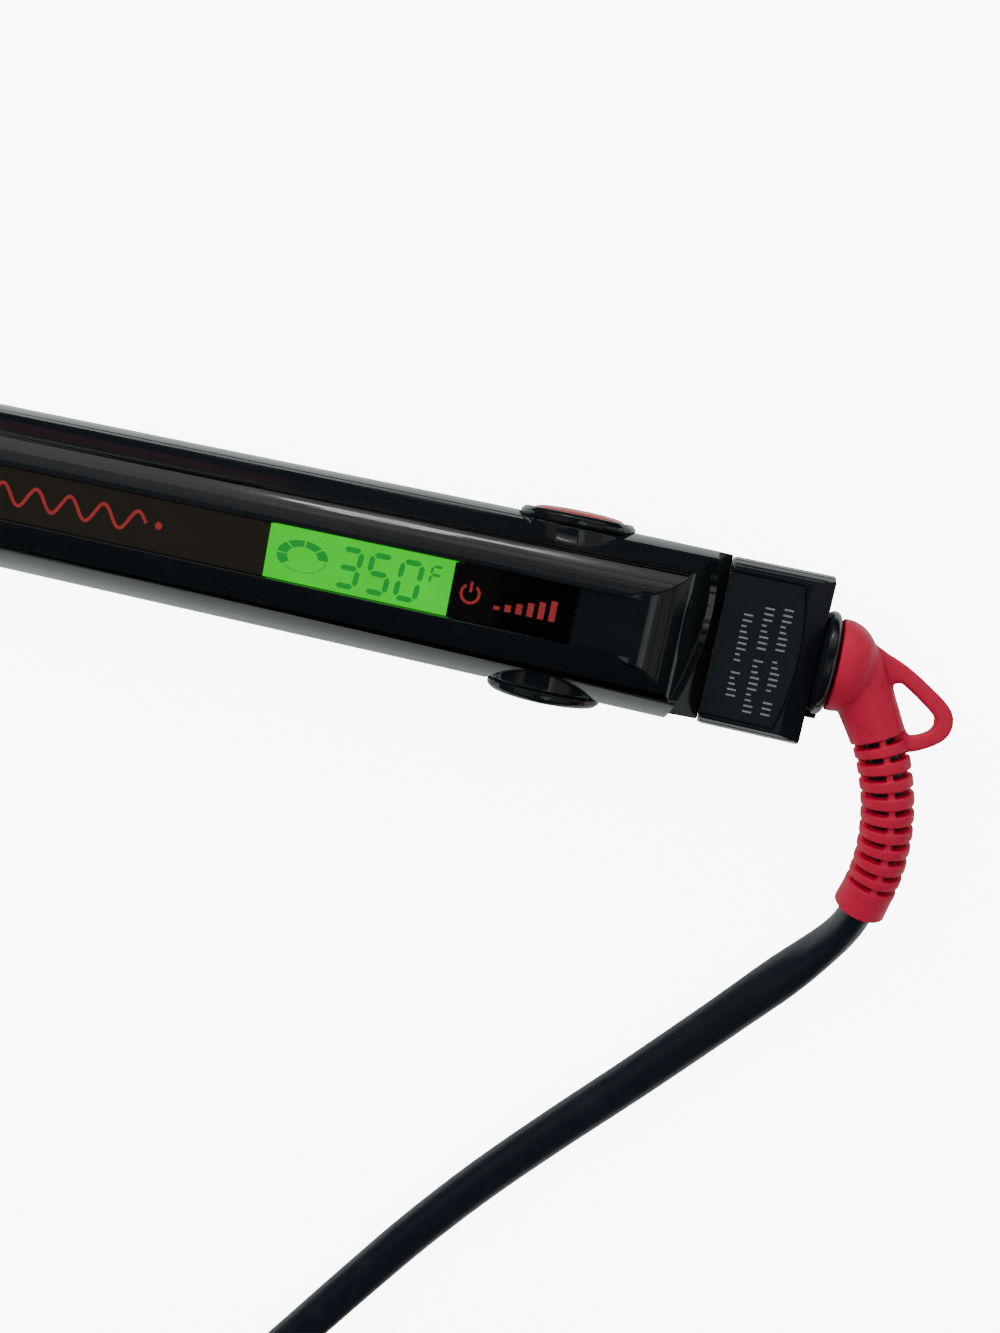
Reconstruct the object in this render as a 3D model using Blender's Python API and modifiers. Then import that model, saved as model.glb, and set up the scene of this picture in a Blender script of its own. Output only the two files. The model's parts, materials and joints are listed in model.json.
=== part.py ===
"""Curling iron: two half-round arms hinged near the tail, lying on its back.

+X runs towards the cord, +Z out of the display, +Y towards hinge cap 1.  Every dimension
below is in millimetres; the helpers turn them into metres.  The lower arm carries the
barrel and the tail block, the upper arm carries the display and the clamp plate.
"""

import math

import bmesh
import bpy
from mathutils import Matrix, Vector

MM = 0.001

# Handle: two half shells of one round grip, resting on a flat ground along its back.
AXIS_HEIGHT = 16.0
GRIP_RADIUS = 17.0
GRIP_FRONT = -92.0
GRIP_REAR = 84.3
SHELL_WALL = 3.0
CAVITY_RADIUS = GRIP_RADIUS - SHELL_WALL
CAVITY_FRONT = GRIP_FRONT + 4.0
CAVITY_REAR = 62.0
GAP = 0.3
HALF_GAP = GAP / 2
FAR = 60.0

# Inside the handle: covers, screws and boards.
COVER_FRONT = CAVITY_FRONT + 0.5
COVER_REAR = 40.5
COVER_HALF_WIDTH = 13.5
COVER_DEPTH = 2.4
COVER_SCREWS = (-48.0, 24.0)
HANDLE_SCREWS = (-55.0, 30.0)
SCREW_HEAD = 0.95
SCREW_CLEARANCE = 1.5
POWER_BOARD = ((-40.0, -8.5, -8.6), (20.0, 8.5, -7.0))
TRIAC = ((-30.0, -5.0, -6.7), (-20.0, 5.0, -2.8))
CONTROL_BOARD = ((-86.0, -8.0, 8.8), (37.0, 8.0, 10.2))
LEAD_RADIUS = 0.8

# Hinge near the tail, and the wedge that lets the arms open.
HINGE_X = 53.6
WEDGE_DEGREES = 6.4
BOSS_RADIUS = 12.2
BOSS_FACE = 15.5
EAR_RADIUS = 9.0
EAR_INNER = 9.5
EAR_OUTER = 13.0
KNUCKLE_RADIUS = 6.5
KNUCKLE_INNER = 5.8
PIN_RADIUS = 2.5
PIN_HALF_LENGTH = 16.7
BEZEL_RADIUS = 11.4
BEZEL_BACK = BOSS_FACE + GAP
BEZEL_FACE = 18.2
CAP_RADIUS = 8.85
CAP_BACK = 17.6
CAP_TOP = 19.1
SPRING_TURNS = 4
SPRING_RADIUS = 4.0
SPRING_HALF_WIDTH = 3.6
SPRING_WIRE_RADIUS = 0.55
SPRING_REACH = 13.5
SPRING_LIFT = 12.6

# Display strip, let into the upper arm and cut off by a ramp at the tail.
STRIP_HALF_WIDTH = 5.4
STRIP_HEIGHT = 15.6
STRIP_FRONT = -89.0
LENS_FRONT = -62.0
LENS_REAR = 58.3
LENS_THICKNESS = 0.9
DISPLAY_FRONT = -2.3
DISPLAY_REAR = 34.6
RAMP_START = 69.7
RAMP_KNEE = (77.7, 12.7)
RAMP_END = (84.2, 3.0)
TAIL_ARC_RADIUS = 45.6
TAIL_ARC_TIP = 83.6

# Tail block, swivel and boot.
BLOCK_FRONT = 84.8
BLOCK_REAR = 103.6
BLOCK_RADIUS = 16.4
BLOCK_FLAT = 8.0
BLOCK_SLOPE = 4.3
BLOCK_REAR_HEIGHT = 5.6
BLOCK_SCREW_X = 94.5
BLOCK_SCREW_Y = 11.6
LABEL_DEPTH = 0.4
LABEL_HALF_WIDTH = 12.6
RAIL_INNER = 4.0
RAIL_OUTER = 7.1
RAIL_LOW = -7.9
RAIL_HIGH = -5.3
SWIVEL_CAVITY_RADIUS = 6.9
SWIVEL_CAVITY_FRONT = 88.0
SWIVEL_CAVITY_REAR = 101.0
RING_POSITIONS = (91.2, 95.2)
RING_WIDTH = 2.2
RING_RADIUS = 5.0
HUB_RADIUS = 3.6
FLANGE_RADIUS = 6.6
NECK_RADIUS = 5.0
SWIVEL_COLLAR_RADIUS = 10.1
SWIVEL_COLLAR_REAR = 106.6
BOOT_FRONT = 107.0
BOOT_DOME_RADIUS = 8.4
BOOT_RADIUS = 4.95
BOOT_CORE_RADIUS = 3.9
RIB_COUNT = 9
RIB_WIDTH = 1.95
SLOT_WIDTH = 1.1
BOOT_ELBOW = ((109.9, 1.7, 16.0), (113.5, -4.3, 15.9))
BOOT_ROUTE = (
    (118.7, -12.8, 15.7), (122.0, -20.7, 15.2), (123.8, -27.6, 14.0),
    (124.6, -34.6, 12.3), (124.5, -40.3, 10.5), (123.6, -46.7, 8.5),
)
LOOP_OUTER = (
    (112.6, 5.2), (117.0, 4.0), (121.0, 2.3), (125.0, -0.1), (128.8, -2.7), (130.5, -5.0),
    (130.7, -7.6), (129.7, -9.7), (127.4, -11.6), (124.2, -13.2), (120.6, -13.6), (114.0, -2.6),
)
LOOP_HOLE = (
    (118.7, -1.7), (119.4, -1.0), (120.6, -1.1), (126.3, -4.9), (127.3, -6.4),
    (126.9, -8.2), (124.6, -9.7), (123.0, -9.5), (120.9, -5.9),
)
LOOP_THICKNESS = 3.0

# Cord: a flat twin lead, laid from the boot to a round coil on the table.
CORD_TUBE_RADIUS = 3.4
CORD_WIDTH = 8.8
CORD_HEIGHT = 6.4
CORD_ROUTE = (
    (123.5, -47.3, 8.3), (122.6, -50.8, 7.2), (120.8, -54.8, 6.0), (117.2, -60.4, 4.8),
    (111.8, -67.7, 3.8), (106.1, -74.9, 3.45), (100.3, -82.0, 3.4), (87.6, -97.2, 3.4),
    (74.1, -112.9, 3.4), (60.9, -128.9, 3.4), (48.9, -144.9, 3.4), (37.9, -161.0, 3.4),
    (26.9, -177.6, 3.4), (22.4, -184.4, 3.4),
)
COIL_CENTRE = (54.0, -245.0)
COIL_RADIUS = 50.0
COIL_COLUMNS = 3
COIL_ROWS = 3
LEAD_ROUTE = (
    (86.2, -304.0, 14.6), (91.0, -304.0, 13.3), (96.0, -304.0, 11.9),
    (101.0, -304.0, 10.9), (106.0, -304.0, 10.3),
)
PLUG_FRONT = 106.4
PLUG_HEIGHT = 10.2
PLUG_Y = -304.0
RELIEF_LENGTH = 19.0
PLUG_FACE = PLUG_FRONT + 42.0
PLUG_HALF_WIDTH = 12.5
PLUG_HALF_HEIGHT = 9.6
BLADE_OFFSET = 6.35
BLADE_REACH = 16.0
BLADE_ROOT = 6.0
BLADE_HALF_THICKNESS = 0.75
BLADE_HALF_WIDTH = 3.2

# Barrel on the lower arm, clamp on the upper arm.
BARREL_COLLAR_FRONT = -106.0
BARREL_COLLAR_REAR = -96.6
HEATER_LEAD_Y = 5.0
HEATER_LEAD_Z = -5.6
BARREL_RADIUS = 12.7
BARREL_WALL = 1.2
BARREL_FRONT = -216.0
HEATER_REAR = BARREL_COLLAR_FRONT - 6.0
HEATER_FRONT = BARREL_FRONT + 12.0
HOLDER_RADIUS = 10.9
SENSOR_HEIGHT = 6.2
SENSOR_RADIUS = 1.8
TIP_FRONT = -232.0
TIP_SPIGOT_RADIUS = 11.0
CLAMP_INNER_RADIUS = 13.2
CLAMP_THICKNESS = 1.0
CLAMP_FRONT = -213.0
CLAMP_REAR = -98.0
CARRIER_FRONT = -108.0
CLAMP_HALF_ANGLE = 78.0
CLAMP_NOSE_LENGTH = 16.0
RIVET_X = -103.0
RIVET_Y = 4.0
KEY_POSITIONS = {"power": -68.0, "minus": -75.0, "plus": -82.0}
KEY_RADIUS = 2.5
KEY_SKIRT_RADIUS = 3.1
KEY_BOTTOM = 12.7
KEY_TOP = 16.3

COLOURS = {
    "gloss_black": ((0.012, 0.014, 0.016, 1.0), 0.16, 0.0),
    "lens_smoke": ((0.02, 0.016, 0.012, 1.0), 0.08, 0.0),
    "display_green": ((0.01, 0.9, 0.12, 1.0), 0.35, 0.0),
    "cap_red": ((0.55, 0.03, 0.045, 1.0), 0.3, 0.0),
    "boot_red": ((0.56, 0.02, 0.035, 1.0), 0.55, 0.0),
    "cord_black": ((0.012, 0.016, 0.02, 1.0), 0.45, 0.0),
    "barrel_coating": ((0.09, 0.09, 0.1, 1.0), 0.3, 1.0),
    "steel": ((0.62, 0.62, 0.63, 1.0), 0.3, 1.0),
    "brass": ((0.75, 0.56, 0.24, 1.0), 0.3, 1.0),
    "board_green": ((0.01, 0.13, 0.05, 1.0), 0.5, 0.0),
    "heat_white": ((0.75, 0.72, 0.65, 1.0), 0.6, 0.0),
    "aluminium": ((0.7, 0.71, 0.72, 1.0), 0.4, 1.0),
}


# ---------------------------------------------------------------- scene and materials

def clear_scene():
    for obj in list(bpy.data.objects):
        bpy.data.objects.remove(obj)
    for collection in list(bpy.data.collections):
        bpy.data.collections.remove(collection)


def new_collection(name):
    collection = bpy.data.collections.new(name)
    bpy.context.scene.collection.children.link(collection)
    return collection


def material(name):
    found = bpy.data.materials.get(name)
    if found:
        return found
    colour, roughness, metallic = COLOURS[name]
    made = bpy.data.materials.new(name)
    made.use_nodes = True
    shader = made.node_tree.nodes["Principled BSDF"]
    shader.inputs["Base Color"].default_value = colour
    shader.inputs["Roughness"].default_value = roughness
    shader.inputs["Metallic"].default_value = metallic
    made.diffuse_color = colour
    return made


clear_scene()
PARTS = new_collection("curling_iron")
CUTTERS = new_collection("cutters")


# ---------------------------------------------------------------- modelling helpers

def at(x, y, z):
    """A point given from the handle's axis, as world metres."""
    return Vector((x, y, z + AXIS_HEIGHT)) * MM


def finish(obj, look):
    """Link a finished object: with a look it is a part, without one a cutter."""
    if look is None:
        CUTTERS.objects.link(obj)
        obj.display_type = "WIRE"
        obj.hide_render = True
        return obj
    PARTS.objects.link(obj)
    obj.data.materials.append(material(look))
    return obj


def mesh_object(name, bm, look):
    bmesh.ops.recalc_face_normals(bm, faces=bm.faces)
    mesh = bpy.data.meshes.new(name)
    bm.to_mesh(mesh)
    bm.free()
    return finish(bpy.data.objects.new(name, mesh), look)


def box(name, low, high, look=None):
    """A box between two corners, both measured from the handle's axis."""
    low, high = at(*low), at(*high)
    bm = bmesh.new()
    bmesh.ops.create_cube(bm, size=1.0)
    bmesh.ops.scale(bm, vec=high - low, verts=bm.verts)
    bmesh.ops.translate(bm, vec=(low + high) / 2, verts=bm.verts)
    return mesh_object(name, bm, look)


def turn_to(direction):
    """The rotation that points an object's own Z axis along a direction."""
    return Vector((0.0, 0.0, 1.0)).rotation_difference(Vector(direction)).to_matrix().to_4x4()


def rod(name, radius, start, end, look=None, segments=48, end_radius=None):
    """A cylinder or cone between two points, both measured from the handle's axis."""
    start, end = at(*start), at(*end)
    bm = bmesh.new()
    far_radius = radius if end_radius is None else end_radius
    bmesh.ops.create_cone(
        bm, cap_ends=True, segments=segments, radius1=radius * MM, radius2=far_radius * MM,
        depth=(end - start).length,
        matrix=Matrix.Translation((start + end) / 2) @ turn_to(end - start))
    return mesh_object(name, bm, look)


def prism(name, outline, low, high, across="Y", look=None):
    """An outline extruded across the handle: (x, z) points across Y, or (x, y) points up Z."""
    bm = bmesh.new()
    if across == "Y":
        ring = [bm.verts.new(at(x, low, z)) for x, z in outline]
        travel = Vector((0.0, high - low, 0.0)) * MM
    else:
        ring = [bm.verts.new(at(x, y, low)) for x, y in outline]
        travel = Vector((0.0, 0.0, high - low)) * MM
    face = bm.faces.new(ring)
    swept = bmesh.ops.extrude_face_region(bm, geom=[face])
    moved = [item for item in swept["geom"] if isinstance(item, bmesh.types.BMVert)]
    bmesh.ops.translate(bm, vec=travel, verts=moved)
    return mesh_object(name, bm, look)


def turned(name, profile, centre, direction, look, steps=48):
    """A body turned by a Screw modifier from (radius, height) points along a direction."""
    profile = list(profile)
    bm = bmesh.new()
    ring = [bm.verts.new((radius * MM, 0.0, along * MM)) for radius, along in profile]
    for first, second in zip(ring, ring[1:]):
        bm.edges.new((first, second))
    if profile[0][0] > 0:
        bm.edges.new((ring[-1], ring[0]))
    mesh = bpy.data.meshes.new(name)
    bm.to_mesh(mesh)
    bm.free()
    obj = bpy.data.objects.new(name, mesh)
    obj.location = at(*centre)
    obj.rotation_euler = turn_to(direction).to_euler()
    screw = obj.modifiers.new("turn", "SCREW")
    screw.steps = steps
    screw.render_steps = steps
    screw.use_merge_vertices = True
    screw.merge_threshold = 0.00002
    return finish(obj, look)


def tube(name, points, radii, look):
    """A round tube through world points in millimetres, with a radius at each of them."""
    curve = bpy.data.curves.new(name, "CURVE")
    curve.dimensions = "3D"
    curve.bevel_depth = MM
    curve.bevel_resolution = 2
    curve.use_fill_caps = True
    spline = curve.splines.new("POLY")
    spline.points.add(len(points) - 1)
    for point, place, radius in zip(spline.points, points, radii):
        point.co = (*(Vector(place) * MM), 1.0)
        point.radius = radius
    return finish(bpy.data.objects.new(name, curve), look)


def as_mesh(obj):
    """Turn a curve object into a mesh object with its caps joined, keeping its name."""
    bpy.context.view_layer.update()
    graph = bpy.context.evaluated_depsgraph_get()
    mesh = bpy.data.meshes.new_from_object(obj.evaluated_get(graph))
    bm = bmesh.new()
    bm.from_mesh(mesh)
    bmesh.ops.remove_doubles(bm, verts=bm.verts, dist=0.00001)
    bmesh.ops.recalc_face_normals(bm, faces=bm.faces)
    bm.to_mesh(mesh)
    bm.free()
    name, place, homes = obj.name, obj.matrix_world.copy(), list(obj.users_collection)
    bpy.data.objects.remove(obj)
    made = bpy.data.objects.new(name, mesh)
    made.matrix_world = place
    for home in homes:
        home.objects.link(made)
    if homes[0] == CUTTERS:
        made.display_type = "WIRE"
        made.hide_render = True
    return made


def boolean(obj, operation, tools):
    for tool in tools:
        step = obj.modifiers.new(f"{operation.lower()} {tool.name}", "BOOLEAN")
        step.operation = operation
        step.solver = "EXACT"
        step.object = tool
    return obj


def cut(obj, *tools):
    return boolean(obj, "DIFFERENCE", tools)


def join(obj, *tools):
    return boolean(obj, "UNION", tools)


def bevel(obj, width, segments=2, angle=35.0):
    step = obj.modifiers.new("bevel", "BEVEL")
    step.width = width * MM
    step.segments = segments
    step.limit_method = "ANGLE"
    step.angle_limit = math.radians(angle)
    return obj


def smooth_path(points, spacing):
    """Evenly spaced world points along a Catmull-Rom curve through the given points."""
    marks = [Vector(point) for point in points]
    marks = [marks[0] * 2 - marks[1]] + marks + [marks[-1] * 2 - marks[-2]]
    fine = []
    for before, start, end, after in zip(marks, marks[1:], marks[2:], marks[3:]):
        for step in range(24):
            t = step / 24
            fine.append(0.5 * (
                2 * start + (end - before) * t + (2 * before - 5 * start + 4 * end - after) * t ** 2
                + (3 * start - before - 3 * end + after) * t ** 3))
    fine.append(marks[-2])
    lengths = [0.0]
    for first, second in zip(fine, fine[1:]):
        lengths.append(lengths[-1] + (second - first).length)
    count = max(2, round(lengths[-1] / spacing))
    path = []
    index = 0
    for step in range(count + 1):
        wanted = lengths[-1] * step / count
        while index < len(fine) - 2 and lengths[index + 1] < wanted:
            index += 1
        share = (wanted - lengths[index]) / (lengths[index + 1] - lengths[index])
        path.append(fine[index].lerp(fine[index + 1], min(share, 1.0)))
    return path


def path_point(path, distance):
    """The point a distance along a path, running on straight past its end."""
    for first, second in zip(path, path[1:]):
        step = (second - first).length
        if distance <= step or second is path[-1]:
            return first + (second - first) * (distance / step)
        distance -= step
    return path[-1]


def pivot(name, place):
    empty = bpy.data.objects.new(name, None)
    empty.empty_display_size = 0.01
    empty.location = place
    PARTS.objects.link(empty)
    return empty


def hang(empty, objects):
    """Parent moving pieces to the empty on their joint's axis, without moving them."""
    for obj in objects:
        obj.parent = empty
        obj.matrix_parent_inverse = empty.matrix_basis.inverted()


# ---------------------------------------------------------------- shared cutters

def wedge_height(x):
    return HALF_GAP + max(0.0, x - HINGE_X) * math.tan(math.radians(WEDGE_DEGREES))


def parting_cutter(name, side):
    """Everything on the other arm's side of the parting plane and of the tail wedge."""
    tail = GRIP_REAR + 20
    outline = ((GRIP_FRONT - 10, -FAR * side), (GRIP_FRONT - 10, HALF_GAP * side),
               (HINGE_X, HALF_GAP * side), (tail, wedge_height(tail) * side), (tail, -FAR * side))
    return prism(name, outline, -FAR, FAR)


def ring_pair(name, radius, inner, outer, look=None, segments=48):
    """Two discs on the hinge axis, one towards each hinge cap."""
    return [rod(f"{name}_{index}", radius, (HINGE_X, side * inner, 0), (HINGE_X, side * outer, 0),
                look, segments)
            for index, side in ((1, 1), (2, -1))]


def hinge_bore(name):
    return rod(name, PIN_RADIUS + GAP, (HINGE_X, -FAR, 0), (HINGE_X, FAR, 0), segments=32)


# ---------------------------------------------------------------- lower arm

def lower_handle_shell():
    shell = rod("lower_handle_shell", GRIP_RADIUS, (GRIP_FRONT, 0, 0), (GRIP_REAR, 0, 0),
                look="gloss_black", segments=72)
    join(shell, *ring_pair("lower_boss", BOSS_RADIUS, EAR_INNER, BOSS_FACE))
    cut(shell,
        parting_cutter("lower_parting", -1),
        *ring_pair("lower_bezel_seat", BEZEL_RADIUS + GAP, BOSS_FACE, FAR),
        box("rest_flat", (GRIP_FRONT - 5, -FAR, -FAR), (GRIP_REAR + 5, FAR, -AXIS_HEIGHT)),
        rod("lower_cavity", CAVITY_RADIUS, (CAVITY_FRONT, 0, 0), (CAVITY_REAR, 0, 0), segments=64),
        box("tenon_slot", (CAVITY_REAR - 2, -RAIL_OUTER - GAP, RAIL_LOW - GAP),
            (GRIP_REAR + 5, RAIL_OUTER + GAP, RAIL_HIGH + GAP)),
        box("barrel_socket", (GRIP_FRONT - 2, -8.0, -9.0), (CAVITY_FRONT + 1, 8.0, FAR)))
    join(shell, *ring_pair("ear", EAR_RADIUS, EAR_INNER, EAR_OUTER))
    cut(shell, hinge_bore("lower_hinge_bore"))
    for index, x in enumerate(HANDLE_SCREWS, 1):
        cut(shell, rod(f"handle_screw_hole_{index}", 1.8, (x, 0, -FAR), (x, 0, -5), segments=20),
            rod(f"handle_screw_sink_{index}", 3.0, (x, 0, -FAR), (x, 0, -14.65), segments=24))
    return shell


def lower_inner_cover():
    """The flat cover that closes the lower arm, with a boss for each handle screw."""
    cover = box("lower_inner_cover", (COVER_FRONT, -COVER_HALF_WIDTH, -COVER_DEPTH),
                (COVER_REAR, COVER_HALF_WIDTH, -HALF_GAP), "gloss_black")
    for index, x in enumerate(HANDLE_SCREWS, 1):
        join(cover, rod(f"screw_boss_{index}", 3.4, (x, 0, -13.2), (x, 0, -1.0), segments=28))
        cut(cover, rod(f"screw_bore_{index}", 1.5, (x, 0, -FAR), (x, 0, -3.0), segments=20))
    return cover


def machine_screw(name, head, tip, head_radius=2.4, shank_radius=1.2, look="steel"):
    """A pan-head screw along Z from its head's face to its tip, with a straight slot."""
    direction = 1 if tip[2] > head[2] else -1
    x, y, face = head
    shoulder = face + SCREW_HEAD * direction
    screw = rod(name, head_radius, head, (x, y, shoulder), look, 24)
    join(screw, rod(f"{name}_shank", shank_radius, (x, y, shoulder - 0.3 * direction), tip,
                    segments=16))
    low, high = sorted((face - direction, face + 0.4 * direction))
    return cut(screw, box(f"{name}_slot", (x - 0.35, y - 5, low), (x + 0.35, y + 5, high)))


def hinge_hardware():
    """The steel pin, and a bezel with a domed red cap on each of its ends."""
    rod("hinge_pin", PIN_RADIUS, (HINGE_X, -PIN_HALF_LENGTH, 0), (HINGE_X, PIN_HALF_LENGTH, 0),
        "steel", 32)
    for index, side in ((1, 1), (2, -1)):
        bezel = rod(f"hinge_bezel_{index}", BEZEL_RADIUS, (HINGE_X, side * BEZEL_BACK, 0),
                    (HINGE_X, side * BEZEL_FACE, 0), "gloss_black", 56)
        bevel(bezel, 0.5)
        cut(bezel,
            rod(f"cap_recess_{index}", CAP_RADIUS + GAP, (HINGE_X, side * (CAP_BACK - GAP), 0),
                (HINGE_X, side * 30, 0), segments=56),
            rod(f"pin_recess_{index}", PIN_RADIUS + GAP, (HINGE_X, side * 12, 0),
                (HINGE_X, side * 30, 0), segments=32))
        dome = CAP_TOP - CAP_BACK
        profile = [(CAP_RADIUS, 0.0)]
        profile += [(CAP_RADIUS * math.cos(math.radians(a)), 0.5 + (dome - 0.5) * math.sin(math.radians(a)))
                    for a in range(0, 91, 15)]
        profile[-1] = (0.0, dome)
        turned(f"hinge_cap_{index}", reversed([(0.0, 0.0)] + profile), (HINGE_X, side * CAP_BACK, 0),
               (0, side, 0), "cap_red", 48)


def arm_spring():
    """The torsion spring on the pin that pushes the arms apart."""
    points = [Vector((HINGE_X - SPRING_REACH, SPRING_HALF_WIDTH, AXIS_HEIGHT - SPRING_LIFT))]
    per_turn = 14
    steps = SPRING_TURNS * per_turn + per_turn // 2
    for step in range(steps + 1):
        angle = math.radians(-90) - 2 * math.pi * step / per_turn
        across = SPRING_HALF_WIDTH * (1 - 2 * step / steps)
        points.append(Vector((HINGE_X + SPRING_RADIUS * math.cos(angle), across,
                              AXIS_HEIGHT + SPRING_RADIUS * math.sin(angle))))
    points.append(Vector((HINGE_X - SPRING_REACH, -SPRING_HALF_WIDTH, AXIS_HEIGHT + SPRING_LIFT)))
    tube("arm_spring", points, [SPRING_WIRE_RADIUS] * len(points), "steel")


def barrel_assembly():
    """The barrel on its heat collar, closed by the cool tip and its screw."""
    collar = rod("barrel_collar", 12.2, (BARREL_COLLAR_REAR, 0, 0), (BARREL_COLLAR_FRONT, 0, 0),
                 look="gloss_black", segments=64, end_radius=12.9)
    taper = rod("collar_taper", GRIP_RADIUS - 0.4, (GRIP_FRONT - GAP, 0, 0), (-103.0, 0, 0),
                segments=64, end_radius=12.75)
    cut(taper, box("taper_top", (-110, -FAR, -HALF_GAP), (-80, FAR, FAR)),
        box("taper_rest_flat", (-110, -FAR, -FAR), (-80, FAR, -AXIS_HEIGHT)))
    join(collar, taper,
         box("collar_tenon", (-98.0, -7.6, -8.6), (CAVITY_FRONT + 4, 7.6, -2.8)),
         rod("collar_spigot", 11.2, (BARREL_COLLAR_FRONT + 2, 0, 0), (BARREL_COLLAR_FRONT - 5, 0, 0)))
    for index, side in ((1, 1), (2, -1)):
        cut(collar, rod(f"collar_lead_way_{index}", 1.2, (-130, side * HEATER_LEAD_Y, HEATER_LEAD_Z),
                        (-60, side * HEATER_LEAD_Y, HEATER_LEAD_Z), segments=16))
    shell = rod("barrel_tube", BARREL_RADIUS, (BARREL_COLLAR_FRONT - GAP, 0, 0), (BARREL_FRONT, 0, 0),
                look="barrel_coating", segments=72)
    cut(shell, rod("barrel_bore", BARREL_RADIUS - BARREL_WALL, (BARREL_COLLAR_FRONT + 5, 0, 0),
                   (BARREL_FRONT - 5, 0, 0), segments=64))
    spigot = TIP_SPIGOT_RADIUS
    nose = [(7.0, 0.0), (9.6, 0.9), (11.3, 2.6), (12.3, 5.2), (BARREL_RADIUS, 8.4)]
    profile = [(0.0, 0.0)] + nose + [(BARREL_RADIUS, 15.7), (spigot, 15.7), (spigot, 22.0), (0.0, 22.0)]
    tip = turned("barrel_tip", reversed(profile), (TIP_FRONT, 0, 0), (1, 0, 0), "gloss_black", 48)
    cut(tip, rod("tip_screw_bore", 1.6, (TIP_FRONT - 1, 0, 0), (TIP_FRONT + 15, 0, 0), segments=20),
        rod("tip_screw_sink", 3.0, (TIP_FRONT - 1, 0, 0), (TIP_FRONT + 2.5, 0, 0), segments=24))
    screw = rod("tip_screw", 2.4, (TIP_FRONT + 1.1, 0, 0), (TIP_FRONT + 2.2, 0, 0), look="steel",
                segments=24)
    join(screw, rod("tip_screw_shank", 1.2, (TIP_FRONT + 1.8, 0, 0), (TIP_FRONT + 13, 0, 0),
                    segments=16))
    cut(screw, box("tip_screw_slot", (TIP_FRONT, -5, -0.35), (TIP_FRONT + 1.5, 5, 0.35)))


def heater():
    """Two aluminium half-rounds that press the heating plate between them."""
    for index, side in ((1, 1), (2, -1)):
        holder = rod(f"heater_holder_{index}", HOLDER_RADIUS, (HEATER_REAR, 0, 0), (HEATER_FRONT, 0, 0),
                     look="aluminium", segments=48)
        half = ordered((HEATER_FRONT - 5, -FAR, -FAR * side), (HEATER_REAR + 5, FAR, 1.9 * side))
        cut(holder, box(f"holder_half_{index}", *half),
            rod(f"sensor_way_{index}", SENSOR_RADIUS + 0.4,
                (HEATER_REAR - 30, 0, SENSOR_HEIGHT * side),
                (HEATER_REAR + 5, 0, SENSOR_HEIGHT * side), segments=24))
    box("ptc_heater", (HEATER_FRONT + 8, -8.5, -1.5), (HEATER_REAR - 8, 8.5, 1.5), "heat_white")
    for name, side, look in (("temperature_sensor", 1, "heat_white"), ("thermal_fuse", -1, "steel")):
        rod(name, SENSOR_RADIUS, (HEATER_REAR - 26, 0, SENSOR_HEIGHT * side),
            (HEATER_REAR - 12, 0, SENSOR_HEIGHT * side), look, 20)


def ordered(first, second):
    """The low and high corners of the box between two points."""
    low = tuple(min(a, b) for a, b in zip(first, second))
    high = tuple(max(a, b) for a, b in zip(first, second))
    return low, high


def power_electronics():
    """The triac board in the lower arm and the leads that join it to swivel and heater."""
    box("power_board", *POWER_BOARD, "board_green")
    box("power_triac", *TRIAC, "gloss_black")
    for index, side in ((1, 1), (2, -1)):
        height = AXIS_HEIGHT - 6.9
        corners = [(20.3, side * 6.0, height), (31.0, side * 6.0, height), (42.0, side * 1.7, height),
                   (60.0, side * 1.7, height), (88.4, side * 1.7, height)]
        route = smooth_path(corners, 4.0)
        tube(f"mains_lead_{index}", route, [LEAD_RADIUS] * len(route), "cord_black")
        rod(f"heater_lead_{index}", LEAD_RADIUS,
            (HEATER_REAR + GAP, side * HEATER_LEAD_Y, HEATER_LEAD_Z),
            (POWER_BOARD[0][0] - GAP, side * HEATER_LEAD_Y, HEATER_LEAD_Z), "heat_white", 12)


# ---------------------------------------------------------------- tail block and swivel

def end_block_half(name, side):
    """One half of the tail block: a round body with a flat face and a sloped rear end."""
    half = rod(name, BLOCK_RADIUS, (BLOCK_FRONT, 0, 0), (BLOCK_REAR, 0, 0), look="gloss_black",
               segments=64)
    low = BLOCK_REAR_HEIGHT * side
    slope = ((BLOCK_REAR - BLOCK_SLOPE, (BLOCK_FLAT + 0.1) * side), (BLOCK_REAR + 0.4, low),
             (BLOCK_REAR + 3, low), (BLOCK_REAR + 3, 12 * side),
             (BLOCK_REAR - BLOCK_SLOPE, 12 * side))
    cut(half,
        box(f"{name}_parting", *ordered((0, -FAR, -FAR * side), (200, FAR, HALF_GAP * side))),
        box(f"{name}_flat", *ordered((0, -FAR, BLOCK_FLAT * side), (200, FAR, FAR * side))),
        prism(f"{name}_slope", slope, -FAR, FAR),
        rod(f"{name}_cavity", SWIVEL_CAVITY_RADIUS, (SWIVEL_CAVITY_FRONT, 0, 0),
            (SWIVEL_CAVITY_REAR, 0, 0), segments=48),
        rod(f"{name}_neck", NECK_RADIUS + GAP, (SWIVEL_CAVITY_REAR - 1, 0, 0),
            (BLOCK_REAR + 5, 0, 0), segments=48))
    return half


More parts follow.
